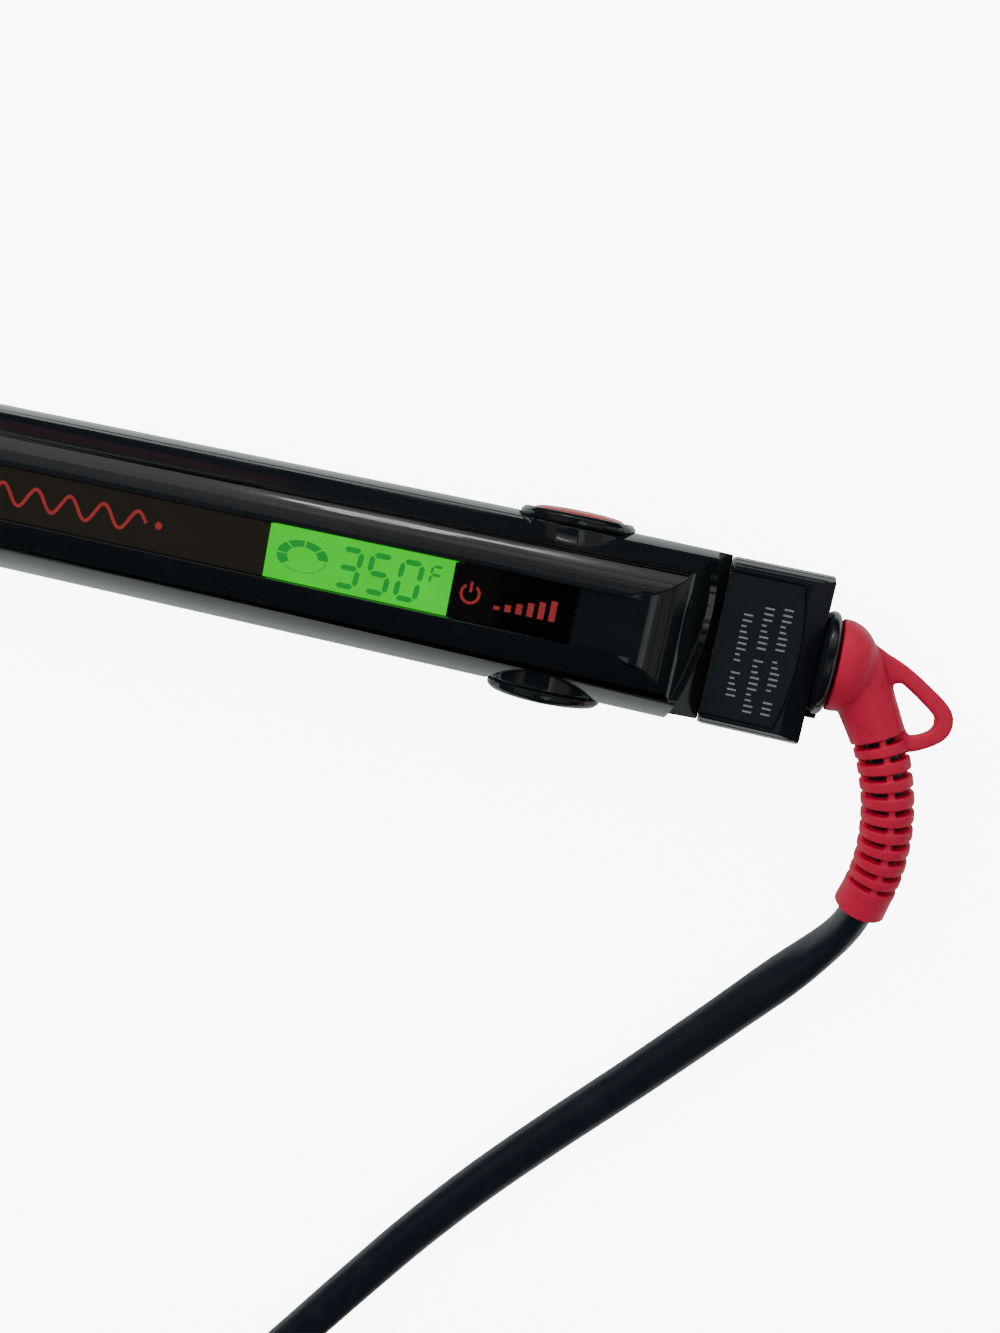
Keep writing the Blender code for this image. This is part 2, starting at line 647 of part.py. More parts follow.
def tail_block():
    front = end_block_half("end_block_front", 1)
    cut(front, box("label_recess",
                   (BLOCK_FRONT + 1.4, -LABEL_HALF_WIDTH, BLOCK_FLAT - LABEL_DEPTH),
                   (BLOCK_REAR - BLOCK_SLOPE - 0.9, LABEL_HALF_WIDTH, FAR)))
    back = end_block_half("end_block_back", -1)
    rail_front = CAVITY_REAR + 3
    join(back, *[
        box(f"tenon_rail_{index}", *ordered((rail_front, side * RAIL_INNER, RAIL_LOW),
                                            (BLOCK_FRONT + 1, side * RAIL_OUTER, RAIL_HIGH)))
        for index, side in ((1, 1), (2, -1))])
    cut(back, box("lead_way", (BLOCK_FRONT - 1, -3.3, -7.8), (SWIVEL_CAVITY_FRONT + 2, 3.3, -5.9)))
    for index, side in ((1, 1), (2, -1)):
        x, y = BLOCK_SCREW_X, BLOCK_SCREW_Y * side
        cut(back, rod(f"block_hole_{index}", 1.6, (x, y, -FAR), (x, y, 2), segments=20),
            rod(f"block_sink_{index}", 2.8, (x, y, -FAR), (x, y, -6.2), segments=24))
        cut(front, rod(f"block_bore_{index}", 1.5, (x, y, -2), (x, y, 5.8), segments=20))
        machine_screw(f"block_screw_{index}", (x, y, -7.8), (x, y, 5.2), 2.4)
    collar = rod("swivel_collar", SWIVEL_COLLAR_RADIUS, (BLOCK_REAR + GAP, 0, 0), (SWIVEL_COLLAR_REAR, 0, 0),
                 look="gloss_black", segments=56)
    bevel(collar, 0.7, 1)
    cut(collar, rod("collar_neck_bore", NECK_RADIUS + GAP, (90, 0, 0), (120, 0, 0), segments=48))
    for index, x in enumerate(RING_POSITIONS, 1):
        box(f"contact_brush_{index}", (x - 0.7, -1.2, -6.45), (x + 0.7, 1.2, -5.35), "brass")


def swivel():
    """The hub that turns in the tail block, with its two contact rings."""
    hub = rod("swivel_hub", HUB_RADIUS, (88.6, 0, 0), (98.6, 0, 0), look="heat_white", segments=36)
    join(hub, rod("hub_flange", FLANGE_RADIUS, (98.2, 0, 0), (100.7, 0, 0)),
         rod("hub_neck", NECK_RADIUS, (100.2, 0, 0), (BOOT_FRONT - GAP, 0, 0)))
    parts = [hub]
    for index, x in enumerate(RING_POSITIONS, 1):
        ring = rod(f"contact_ring_{index}", RING_RADIUS, (x - RING_WIDTH / 2, 0, 0),
                   (x + RING_WIDTH / 2, 0, 0), look="brass", segments=36)
        cut(ring, rod(f"ring_bore_{index}", HUB_RADIUS + GAP, (80, 0, 0), (110, 0, 0), segments=36))
        parts.append(ring)
    return parts


def ribbed_profile(path):
    """Points and radii along the boot: plain neck, slots between ribs, plain end collar."""
    marks = []
    distance = 0.0
    for index in range(RIB_COUNT + 1):
        marks += [(distance, BOOT_RADIUS), (distance + 0.08, BOOT_CORE_RADIUS),
                  (distance + SLOT_WIDTH - 0.08, BOOT_CORE_RADIUS), (distance + SLOT_WIDTH, BOOT_RADIUS)]
        distance += SLOT_WIDTH + RIB_WIDTH
    length = sum((b - a).length for a, b in zip(path, path[1:]))
    marks.append((length, BOOT_RADIUS))
    return [(path_point(path, spot), radius) for spot, radius in marks]


def cord_boot():
    """The moulded elbow with its ribbed sleeve and hanging loop."""
    path = smooth_path(BOOT_ROUTE, 0.5)
    ribs = ribbed_profile(path)
    points = [Vector(point) for point in BOOT_ELBOW] + [point for point, _ in ribs]
    radii = [5.4, 5.15] + [radius for _, radius in ribs]
    boot = as_mesh(tube("cord_boot", points, radii, "boot_red"))
    bm = bmesh.new()
    bmesh.ops.create_uvsphere(bm, u_segments=36, v_segments=20, radius=BOOT_DOME_RADIUS * MM,
                              matrix=Matrix.Translation(at(BOOT_FRONT - 0.2, 0.2, 0)))
    dome = mesh_object("boot_dome", bm, None)
    join(boot, dome, loop_plate())
    cut(boot, box("boot_face", (80, -30, -30), (BOOT_FRONT, 30, 30)))
    return boot


def loop_plate():
    plate = prism("loop_plate", LOOP_OUTER, -LOOP_THICKNESS / 2, LOOP_THICKNESS / 2, "Z")
    return cut(plate, prism("loop_hole", LOOP_HOLE, -10, 10, "Z"))


# ---------------------------------------------------------------- cord and plug

def cord():
    """The laid stretch, the coil as one ring, the lead-out and the plug."""
    laid = smooth_path(CORD_ROUTE, 5.0)
    tube("cord_tube", laid, [CORD_TUBE_RADIUS] * len(laid), "cord_black")
    half = (COIL_COLUMNS - 1) / 2 * CORD_WIDTH + CORD_WIDTH / 2
    inner = COIL_RADIUS - half - 0.4
    outer = COIL_RADIUS + half + 0.4
    height = COIL_ROWS * CORD_HEIGHT + 0.4
    ring = turned("cord_coil", [(outer, height), (outer, 0.0), (inner, 0.0), (inner, height)],
                  (*COIL_CENTRE, 0.1 - AXIS_HEIGHT), (0, 0, 1), "cord_black", 56)
    lead = smooth_path(LEAD_ROUTE, 3.0)
    lead_out = tube("cord_lead", lead, [CORD_TUBE_RADIUS] * len(lead), "cord_black")
    return [bpy.data.objects["cord_tube"], ring, lead_out] + plug()


def plug():
    """The two-blade plug with its tapered strain relief."""
    rise = PLUG_HEIGHT - AXIS_HEIGHT
    body = rod("plug_body", 4.2, (PLUG_FRONT, PLUG_Y, rise), (PLUG_FRONT + RELIEF_LENGTH, PLUG_Y, rise),
               look="cord_black", segments=32, end_radius=6.6)
    join(body, box("plug_block",
                   (PLUG_FRONT + RELIEF_LENGTH - 1, PLUG_Y - PLUG_HALF_WIDTH, rise - PLUG_HALF_HEIGHT),
                   (PLUG_FACE, PLUG_Y + PLUG_HALF_WIDTH, rise + PLUG_HALF_HEIGHT)))
    pieces = [body]
    for index, side in ((1, 1), (2, -1)):
        y = PLUG_Y + side * BLADE_OFFSET
        thick, wide = BLADE_HALF_THICKNESS, BLADE_HALF_WIDTH
        blade = box(f"plug_blade_{index}", (PLUG_FACE - BLADE_ROOT, y - thick, rise - wide),
                    (PLUG_FACE + BLADE_REACH, y + thick, rise + wide), "brass")
        cut(body, box(f"blade_slot_{index}",
                      (PLUG_FACE - BLADE_ROOT - GAP, y - thick - GAP, rise - wide - GAP),
                      (PLUG_FACE + 5, y + thick + GAP, rise + wide + GAP)))
        hole = PLUG_FACE + BLADE_REACH - 3.5
        cut(blade, rod(f"blade_hole_{index}", 1.5, (hole, y - 5, rise), (hole, y + 5, rise),
                       segments=20))
        pieces.append(blade)
    return pieces


# ---------------------------------------------------------------- upper arm

def tail_arc_cutter():
    """Trims the upper arm's tail to an arc that bows towards the cord."""
    centre = TAIL_ARC_TIP - TAIL_ARC_RADIUS
    sweep = [math.radians(angle) for angle in range(-28, 29, 4)]
    arc = [(centre + TAIL_ARC_RADIUS * math.cos(a), TAIL_ARC_RADIUS * math.sin(a)) for a in sweep]
    return prism("tail_arc", arc + [(GRIP_REAR + 10, arc[-1][1]), (GRIP_REAR + 10, arc[0][1])],
                 -FAR, FAR, "Z")


def upper_handle_shell():
    shell = rod("upper_handle_shell", GRIP_RADIUS, (GRIP_FRONT, 0, 0), (GRIP_REAR, 0, 0),
                look="gloss_black", segments=72)
    join(shell, *ring_pair("upper_boss", BOSS_RADIUS, EAR_INNER - GAP, BOSS_FACE))
    first_slope = (RAMP_KNEE[1] - STRIP_HEIGHT) / (RAMP_KNEE[0] - RAMP_START)
    ramp = ((RAMP_START - 6, STRIP_HEIGHT - 6 * first_slope), RAMP_KNEE, RAMP_END,
            (GRIP_REAR + 5, RAMP_END[1] - 1.2), (GRIP_REAR + 5, FAR), (RAMP_START - 6, FAR))
    hollow = ((68.0, -5.0), (68.0, 12.2), (76.6, 10.0), (79.2, 6.4), (79.2, -5.0))
    cut(shell,
        parting_cutter("upper_parting", 1),
        *ring_pair("upper_bezel_seat", BEZEL_RADIUS + GAP, BOSS_FACE, FAR),
        prism("tail_ramp", ramp, -FAR, FAR),
        tail_arc_cutter(),
        box("strip_channel", (STRIP_FRONT, -STRIP_HALF_WIDTH, STRIP_HEIGHT),
            (RAMP_START, STRIP_HALF_WIDTH, FAR)),
        box("lens_pocket", (LENS_FRONT - GAP, -STRIP_HALF_WIDTH, STRIP_HEIGHT - LENS_THICKNESS),
            (LENS_REAR + GAP, STRIP_HALF_WIDTH, FAR)),
        box("display_window", (DISPLAY_FRONT - 1.5, -STRIP_HALF_WIDTH, 0),
            (DISPLAY_REAR + 1.5, STRIP_HALF_WIDTH, FAR)),
        rod("upper_cavity", CAVITY_RADIUS, (CAVITY_FRONT, 0, 0), (CAVITY_REAR, 0, 0), segments=64),
        prism("tail_hollow", hollow, -9.2, 9.2),
        box("carrier_socket", (GRIP_FRONT - 2, -8.0, -5), (CAVITY_FRONT + 1, 8.0, 9.5)),
        *ring_pair("ear_pocket", EAR_RADIUS + 0.35, EAR_INNER - GAP, EAR_OUTER + GAP))
    for name, x in KEY_POSITIONS.items():
        cut(shell, rod(f"{name}_key_hole", KEY_RADIUS + GAP, (x, 0, 5), (x, 0, FAR), segments=32))
    knuckles = ring_pair("knuckle", KNUCKLE_RADIUS, KNUCKLE_INNER, EAR_INNER - GAP, segments=40)
    ribs = [box(f"knuckle_rib_{index}",
                *ordered((HINGE_X - 3, side * KNUCKLE_INNER, 1.0), (HINGE_X + 3, side * 9.2, 13.4)))
            for index, side in ((1, 1), (2, -1))]
    join(shell, *knuckles, *ribs)
    cut(shell, hinge_bore("upper_hinge_bore"))
    return shell


def upper_inner_cover():
    cover = box("upper_inner_cover", (COVER_FRONT, -COVER_HALF_WIDTH, HALF_GAP),
                (COVER_REAR, COVER_HALF_WIDTH, COVER_DEPTH), "gloss_black")
    for index, x in enumerate(COVER_SCREWS, 1):
        cut(cover, rod(f"cover_hole_{index}", 1.5, (x, 0, -10), (x, 0, 10), segments=20),
            rod(f"cover_sink_{index}", 2.6, (x, 0, -10), (x, 0, 1.6), segments=24))
    return cover


def display_stack():
    """Lens over the display panel, and the board that carries it and the key switches."""
    base = STRIP_HEIGHT - LENS_THICKNESS
    lens = box("display_lens", (LENS_FRONT, -STRIP_HALF_WIDTH + 0.25, base + 0.1),
               (LENS_REAR, STRIP_HALF_WIDTH - 0.25, STRIP_HEIGHT), "lens_smoke")
    panel = box("display_panel", (DISPLAY_FRONT, -STRIP_HALF_WIDTH + 0.3, base - 1.9),
                (DISPLAY_REAR, STRIP_HALF_WIDTH - 0.3, base - GAP), "display_green")
    board = box("control_board", *CONTROL_BOARD, "board_green")
    screws = []
    for index, x in enumerate(COVER_SCREWS, 1):
        cut(board, rod(f"board_hole_{index}", 1.6, (x, 0, 5), (x, 0, 20), segments=20))
        screws.append(machine_screw(f"cover_screw_{index}", (x, 0, 0.35), (x, 0, 9.8), 2.2, 1.1))
    return [lens, panel, board] + screws


def keys():
    """Three round keys on the strip in front of the lens, each over its tact switch."""
    caps, switches = {}, []
    for name, x in KEY_POSITIONS.items():
        cap = rod(f"{name}_key", KEY_RADIUS, (x, 0, KEY_BOTTOM), (x, 0, KEY_TOP), "cap_red", 24)
        join(cap, rod(f"{name}_key_skirt", KEY_SKIRT_RADIUS, (x, 0, KEY_BOTTOM),
                      (x, 0, KEY_BOTTOM + 0.6), segments=24))
        caps[name] = bevel(cap, 0.25)
        switch = box(f"{name}_switch", (x - 2.2, -2.2, 10.5), (x + 2.2, 2.2, 11.3), "gloss_black")
        join(switch, rod(f"{name}_switch_stem", 1.1, (x, 0, 11.0), (x, 0, 11.8), segments=16))
        switches.append(switch)
    return caps, switches


def clamp():
    """The curved plate over the barrel, riveted to a carrier that plugs into the upper arm."""
    outer = CLAMP_INNER_RADIUS + CLAMP_THICKNESS
    plate = rod("clamp_plate", outer, (CLAMP_REAR, 0, 0), (CLAMP_FRONT, 0, 0), "barrel_coating", 72)
    low = CLAMP_INNER_RADIUS * math.cos(math.radians(CLAMP_HALF_ANGLE))
    cut(plate, rod("clamp_bore", CLAMP_INNER_RADIUS, (CLAMP_REAR + 5, 0, 0), (CLAMP_FRONT - 5, 0, 0),
                   segments=72),
        box("clamp_underside", (CLAMP_FRONT - 5, -FAR, -FAR), (CLAMP_REAR + 5, FAR, low)),
        clamp_nose_cutter())
    carrier = rod("clamp_carrier", GRIP_RADIUS - 0.4, (GRIP_FRONT - GAP, 0, 0), (CARRIER_FRONT, 0, 0),
                  "gloss_black", 72, end_radius=15.7)
    cut(carrier,
        rod("carrier_bore", outer + GAP, (BARREL_COLLAR_REAR + GAP, 0, 0), (-130, 0, 0), segments=72),
        box("carrier_underside", (-130, -FAR, -FAR), (GRIP_FRONT + 5, FAR, HALF_GAP)))
    join(carrier, box("carrier_tenon", (GRIP_FRONT - 2, -7.6, 2.8), (CAVITY_FRONT + 4, 7.6, 8.4)))
    pieces = [plate, carrier]
    for index, side in ((1, 1), (2, -1)):
        x, y = RIVET_X, RIVET_Y * side
        cut(plate, rod(f"plate_rivet_hole_{index}", 1.3, (x, y, 5), (x, y, 30), segments=20))
        cut(carrier, rod(f"carrier_rivet_hole_{index}", 1.3, (x, y, 5), (x, y, 30), segments=20),
            rod(f"carrier_rivet_sink_{index}", 2.1, (x, y, 14.95), (x, y, 30), segments=24))
        rivet = rod(f"clamp_rivet_{index}", 1.8, (x, y, 15.2), (x, y, 16.1), "steel", 24)
        join(rivet, rod(f"rivet_shank_{index}", 1.0, (x, y, 13.0), (x, y, 15.5), segments=16))
        pieces.append(bevel(rivet, 0.2))
    return pieces


def clamp_nose_cutter():
    """Rounds the free end of the plate like the tip of a spoon, as seen from above."""
    length = CLAMP_NOSE_LENGTH
    half = CLAMP_INNER_RADIUS + CLAMP_THICKNESS + 2
    nose = [(CLAMP_FRONT + length - length * math.cos(a), half * math.sin(a))
            for a in (math.radians(angle) for angle in range(-90, 91, 10))]
    outline = nose + [(CLAMP_FRONT - 6, nose[-1][1]), (CLAMP_FRONT - 6, nose[0][1])]
    return prism("clamp_nose", outline, -FAR, FAR, "Z")


# ---------------------------------------------------------------- assembly

def main():
    lower_handle_shell()
    lower_inner_cover()
    for index, x in enumerate(HANDLE_SCREWS, 1):
        machine_screw(f"handle_screw_{index}", (x, 0, -15.75), (x, 0, -4.0), 2.6)
    hinge_hardware()
    arm_spring()
    barrel_assembly()
    heater()
    power_electronics()
    tail_block()
    upper = [upper_handle_shell(), upper_inner_cover()] + display_stack() + clamp()
    caps, switches = keys()
    arm_pivot = pivot("arm_pivot", at(HINGE_X, 0, 0))
    hang(arm_pivot, upper + switches)
    for name, cap in caps.items():
        key_pivot = pivot(f"{name}_key_axis", at(KEY_POSITIONS[name], 0, 14.0))
        hang(key_pivot, [cap])
    cord_pivot = pivot("cord_pivot", at(BLOCK_REAR, 0, 0))
    hang(cord_pivot, swivel() + [cord_boot()] + cord())


main()
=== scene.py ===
"""Looks of the curling iron: glossy shells, lit strip, ribbed boot, laid cord and coil.

Lengths are millimetres measured from the handle's axis, as in the part's source; at() turns
them into metres in the row frame.  +X runs to the cord, +Z out of the display.
"""

import json  # noqa: E402
import math  # noqa: E402

import bmesh  # noqa: E402
import bpy  # noqa: E402
from mathutils import Matrix, Vector  # noqa: E402


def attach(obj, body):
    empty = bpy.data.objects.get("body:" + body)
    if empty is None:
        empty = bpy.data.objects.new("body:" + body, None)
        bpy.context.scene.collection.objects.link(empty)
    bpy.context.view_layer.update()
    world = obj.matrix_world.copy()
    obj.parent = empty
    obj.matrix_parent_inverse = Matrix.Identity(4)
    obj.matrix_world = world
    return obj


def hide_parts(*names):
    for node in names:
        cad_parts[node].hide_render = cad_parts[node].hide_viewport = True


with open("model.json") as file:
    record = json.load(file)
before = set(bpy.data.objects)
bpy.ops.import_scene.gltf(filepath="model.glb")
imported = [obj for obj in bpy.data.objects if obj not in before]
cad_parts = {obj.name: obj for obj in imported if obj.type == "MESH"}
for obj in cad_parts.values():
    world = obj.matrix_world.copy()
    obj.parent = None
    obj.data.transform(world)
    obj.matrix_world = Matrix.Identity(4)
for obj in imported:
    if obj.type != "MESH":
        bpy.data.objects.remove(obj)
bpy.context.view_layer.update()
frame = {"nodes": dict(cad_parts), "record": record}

MM = 0.001
AXIS_HEIGHT = 16.0
GAP = 0.3
FAR = 60.0
NUMBERED_SIDES = ((1, 1), (2, -1))

# Handle.
GRIP_RADIUS = 17.0
GRIP_FRONT = -92.0
GRIP_REAR = 84.3
GRIP_STEPS = 240
CAVITY_RADIUS = 14.0
CAVITY_FRONT = -88.0
CAVITY_REAR = 62.0
HALF_GAP = GAP / 2
SOCKET_HALF_WIDTH = 8.0
TONGUE_HALF_WIDTH = 7.6
WEDGE_DEGREES = 6.4
LOWER_EDGE = 0.35
UPPER_EDGE = 0.28
HANDLE_SCREWS = (-55.0, 30.0)
SCREW_HOLE_RADIUS = 1.8
SCREW_SINK_RADIUS = 3.0
SCREW_SINK_TOP = -14.65

# Hinge.
HINGE_X = 53.6
BOSS_RADIUS = 11.6
BOSS_FACE = 15.74
EAR_RADIUS = 9.0
EAR_INNER = 9.5
EAR_OUTER = 13.0
KNUCKLE_RADIUS = 6.5
KNUCKLE_INNER = 5.8
PIN_RADIUS = 2.5
BEZEL_RADIUS = 11.4
BEZEL_BACK = 15.8
BEZEL_FACE = 18.2
BEZEL_NOTCHES = 16
SCALLOP_RADIUS = 3.6
SCALLOP_DEPTH = 0.22
CAP_RADIUS = 8.85
CAP_BACK = 17.6
CAP_TOP = 19.1

# Display strip and tail facets.
STRIP_HALF_WIDTH = 5.4
STRIP_HEIGHT = 15.6
STRIP_FRONT = -89.0
LENS_FRONT = -62.0
LENS_REAR = 58.3
LENS_THICKNESS = 0.9
INK_HEIGHT = 0.02
DISPLAY_FRONT = -2.3
DISPLAY_REAR = 34.6
RAMP_START = 69.9
RAMP = ((69.9, 15.6), (72.0, 15.5), (74.4, 14.8), (76.3, 13.8), (77.9, 12.4), (79.2, 10.6),
        (80.6, 8.4), (82.2, 5.9), (84.2, 3.0))
TAIL_ARC_RADIUS = 52.0
TAIL_ARC_TIP = (82.8, 5.0)
LEDGE_WIDTH = 1.3
KEY_HOLE_RADIUS = 2.8
KEY_POSITIONS = {"power": -68.0, "minus": -75.0, "plus": -82.0}

# Tail block and swivel.
BLOCK_FRONT = 84.8
BLOCK_REAR = 103.6
BLOCK_RADIUS = 16.4
BLOCK_FLAT = 8.0
BLOCK_BORE_RADIUS = 6.9
BLOCK_MOUTH_RADIUS = 5.3
BLOCK_GROOVES = (1.6, 4.0, 6.3)
BLOCK_SCREW = (94.5, 11.6)
BLOCK_SCREW_HOLE_RADIUS = 1.6
BLOCK_SCREW_SINK_RADIUS = 2.8
LABEL_FRONT = 84.0
LABEL_REAR = 100.0
LABEL_BOW_RADIUS = 54.0
LABEL_HALF_WIDTH = 13.7
LABEL_DEPTH = 0.4
LABEL_ROWS = ((88.4, -9.2, (5, 9)), (92.0, -11.6, (10, 8)), (95.4, -11.4, (3, 6, 8)))
DASH_HEIGHTS = (1.7, 0.9, 1.7, 1.7, 1.2)
DASH_WIDTH = 0.34
DASH_PITCH = 1.08
DASH_GROUP_GAP = 1.3
COLLAR_RADIUS = 10.1

# Boot.
BOOT_FRONT = 107.0
BOOT_RADIUS = 4.95
BOOT_SLOT_RADIUS = 2.7
BOOT_LINER_RADIUS = 3.25
RIB_COUNT = 9
RIB_WIDTH = 2.1
SLOT_WIDTH = 1.2
NECK_RADIUS = 6.0
NECK_END_RADIUS = 5.15
WEB_ANGLE = 94.0
BOOT_VOXEL = 0.19
BOOT_ELBOW = ((106.2, 0.6, 16.0), (109.9, 1.0, 16.0), (113.5, -4.3, 15.9))
BOOT_ROUTE = (
    (118.7, -12.8, 15.7), (122.0, -20.7, 15.2), (123.8, -27.6, 14.0),
    (124.6, -34.6, 12.3), (124.5, -40.3, 10.5), (123.6, -46.7, 8.5),
)
LOOP_OUTER = (
    (112.6, 5.2), (117.0, 4.0), (121.0, 2.3), (125.0, -0.1), (128.8, -2.7), (130.5, -5.0),
    (130.7, -7.6), (129.7, -9.7), (127.4, -11.6), (124.2, -13.2), (120.6, -13.6), (114.0, -2.6),
)
LOOP_HOLE = (
    (118.7, -1.7), (119.4, -1.0), (120.6, -1.1), (126.3, -4.9), (127.3, -6.4),
    (126.9, -8.2), (124.6, -9.7), (123.0, -9.5), (120.9, -5.9),
)
LOOP_CENTRE = (122.8, -5.4)
LOOP_HALF_THICKNESS = 1.5
LOOP_POWER = 0.6

# Cord: a flat twin lead.
CORD_WIDTH = 8.8
CORD_HEIGHT = 6.4
CORD_WAIST = 0.03
CORD_WAIST_WIDTH = 1.1
CORD_TURN_LENGTH = 36.0
CORD_ROUTE = (
    (123.5, -47.3, 8.3), (122.6, -50.8, 7.2), (120.8, -54.8, 6.0), (117.2, -60.4, 4.8),
    (111.8, -67.7, 3.8), (106.1, -74.9, 3.45), (100.3, -82.0, 3.4), (87.6, -97.2, 3.4),
    (74.1, -112.9, 3.4), (60.9, -128.9, 3.4), (48.9, -144.9, 3.4), (37.9, -161.0, 3.4),
    (26.9, -177.6, 3.4), (22.4, -184.4, 3.4), (13.3, -198.9, 3.4),
)
COIL_CENTRE = (54.0, -245.0)
COIL_RADII = (59.0, 50.0, 41.0)
COIL_HEIGHTS = (3.4, 9.8, 16.2)
COIL_START = 146.0
COIL_END = 270.0
LEAD_ROUTE = (
    (64.0, -304.0, 16.0), (75.0, -304.0, 15.6), (86.2, -304.0, 14.6), (91.0, -304.0, 13.3),
    (96.0, -304.0, 11.9), (101.0, -304.0, 10.9), (106.4, -304.0, 10.25), (110.0, -304.0, 10.2),
)
PLUG_FRONT = 106.4
PLUG_LENGTH = 42.0
PLUG_HEIGHT = 10.2
PLUG_Y = -304.0
BLADE_OFFSET = 6.35
BLADE_HALF_WIDTH = 3.2
BLADE_HALF_THICKNESS = 0.75
BLADE_ROOT = 6.0
BLADE_REACH = 16.0
BLADE_HOLE_RADIUS = 1.5

# Barrel and clamp.
BARREL_RADIUS = 12.7
BARREL_WALL = 1.2
BARREL_COLLAR_FRONT = -106.0
BARREL_FRONT = -216.0
TIP_FRONT = -232.0
CLAMP_INNER_RADIUS = 13.2
CLAMP_THICKNESS = 1.0
CLAMP_FRONT = -213.0
CLAMP_REAR = -98.0
CLAMP_NOSE = 16.0
CLAMP_HALF_ANGLE = 78.0
RIVET_PLACE = (-103.0, 4.0)
CARRIER_FRONT = -108.0

# Camera: place above the floor and the directions of the picture's right and top.
CAMERA_LENS = 32.41
CAMERA_PLACE = (81.65, 18.30, 250.84)
CAMERA_RIGHT = (0.9637, 0.1963, -0.1812)
CAMERA_UP = (-0.2167, 0.9710, -0.1006)


def at(x, y, z):
    """A point in metres in the row frame, from millimetres off the axis."""
    return Vector((x, y, z + AXIS_HEIGHT)) * MM


# ---------------------------------------------------------------- camera, floor and light

def make_camera():
    """The camera stands above the tail and looks almost straight down."""
    data = bpy.data.cameras.new("camera")
    data.sensor_width = 36.0
    data.lens = CAMERA_LENS
    data.clip_start = 0.005
    camera = scene_object("camera", data)
    right, up = Vector(CAMERA_RIGHT), Vector(CAMERA_UP)
    back = right.cross(up).normalized()
    turn = Matrix((right.normalized(), up.normalized(), back)).transposed().to_4x4()
    camera.matrix_world = Matrix.Translation(Vector(CAMERA_PLACE) * MM) @ turn
    bpy.context.scene.camera = camera


def area_light(name, place, target, width, height, radiance, tint=(1, 1, 1), glossy=True):
    """A soft panel; its power follows from the radiance it should show."""
    data = bpy.data.lights.new(name, "AREA")
    data.shape = "RECTANGLE"
    data.size = width
    data.size_y = height
    data.energy = radiance * math.pi * width * height
    data.color = tint
    lamp = scene_object(name, data)
    lamp.location = place
    lamp.rotation_euler = (Vector(target) - Vector(place)).to_track_quat("-Z", "Y").to_euler()
    lamp.visible_glossy = glossy
    return lamp


def stage_sheet(name, low, high, colour, strength):
    """A flat sheet of the set that shines with its own soft light."""
    bm = bmesh.new()
    corners = ((low[0], low[1]), (high[0], low[1]), (high[0], high[1]), (low[0], high[1]))
    bm.faces.new([bm.verts.new((x, y, low[2])) for x, y in corners])
    sheet = from_bmesh(name, bm)
    look = Look(name, colour, 0.9)
    look.put("Specular IOR Level", 0.1)
    look.put("Emission Color", (*colour, 1.0))
    look.put("Emission Strength", strength)
    sheet.data.materials.append(look.material)
    return sheet


def make_studio():
    """White paper below, a high soft panel beside the grip and small panels for the tail."""
    paper = stage_sheet("floor", (-4, -4, -0.0004), (4, 4, -0.0004), (0.94, 0.94, 0.94), 9.0)
    paper.visible_glossy = False
    paper.visible_diffuse = False
    bounce = stage_sheet("bounce_card", (-1.2, -0.35, -0.0003), (0.9, 0.045, -0.0003),
                         (0.84, 0.95, 0.92), 0.2)
    bounce.visible_camera = False
    bounce.visible_diffuse = False
    bounce.visible_shadow = False
    world = bpy.data.worlds.new("studio")
    world.use_nodes = True
    sky = world.node_tree.nodes["Background"]
    sky.inputs["Color"].default_value = (1.0, 1.0, 1.0, 1.0)
    sky.inputs["Strength"].default_value = 0.62
    world.cycles_visibility.glossy = False
    bpy.context.scene.world = world
    grip, tail = (0.0, 0.0, 0.02), (0.09, 0.0, 0.02)
    area_light("side_wide", (0.0, 0.80, 0.42), grip, 2.0, 0.74, 0.42)
    area_light("side_panel", (0.0, 0.78, 0.34), grip, 1.8, 0.34, 0.6)
    area_light("side_strip", (-0.16, 0.75, 0.285), grip, 0.26, 0.032, 14.0)
    area_light("side_thread", (-0.20, 0.75, 0.335), grip, 0.12, 0.010, 26.0)
    area_light("soft_key", (-0.50, 0.42, 0.62), (0.08, -0.04, 0.0), 0.5, 0.5, 7.0, glossy=False)
    area_light("maroon_card", (-0.55, 0.40, -0.07), grip, 0.9, 0.20, 0.16, (1.0, 0.16, 0.36))
    area_light("ceiling", (-0.78, -0.1, 1.4), (0.0, 0.0, 0.0), 0.95, 1.2, 0.25, (1.0, 0.92, 0.78))
    area_light("tail_panel", (0.56, -0.05, 0.66), (0.075, 0.0, 0.03), 0.4, 0.62, 0.34,
               (1.0, 0.93, 0.84))
    area_light("tail_low", (0.95, 0.07, 0.27), tail, 0.22, 0.5, 0.6, (0.93, 1.0, 0.97))
    area_light("tail_top", (0.30, -0.09, 0.95), (0.083, 0.0, 0.02), 0.30, 0.28, 0.9,
               (0.86, 1.0, 0.97))


# ---------------------------------------------------------------- mesh helpers

def scene_object(name, data):
    obj = bpy.data.objects.new(name, data)
    bpy.context.scene.collection.objects.link(obj)
    return obj


def from_bmesh(name, bm):
    bmesh.ops.recalc_face_normals(bm, faces=bm.faces)
    mesh = bpy.data.meshes.new(name)
    bm.to_mesh(mesh)
    bm.free()
    return scene_object(name, mesh)


def box(first, second):
    """A block between any two opposite corners."""
    low = at(*(min(pair) for pair in zip(first, second)))
    high = at(*(max(pair) for pair in zip(first, second)))
    bm = bmesh.new()
    bmesh.ops.create_cube(bm, size=1.0)
    bmesh.ops.scale(bm, vec=high - low, verts=bm.verts)
    bmesh.ops.translate(bm, vec=(low + high) / 2, verts=bm.verts)
    return from_bmesh("tool", bm)


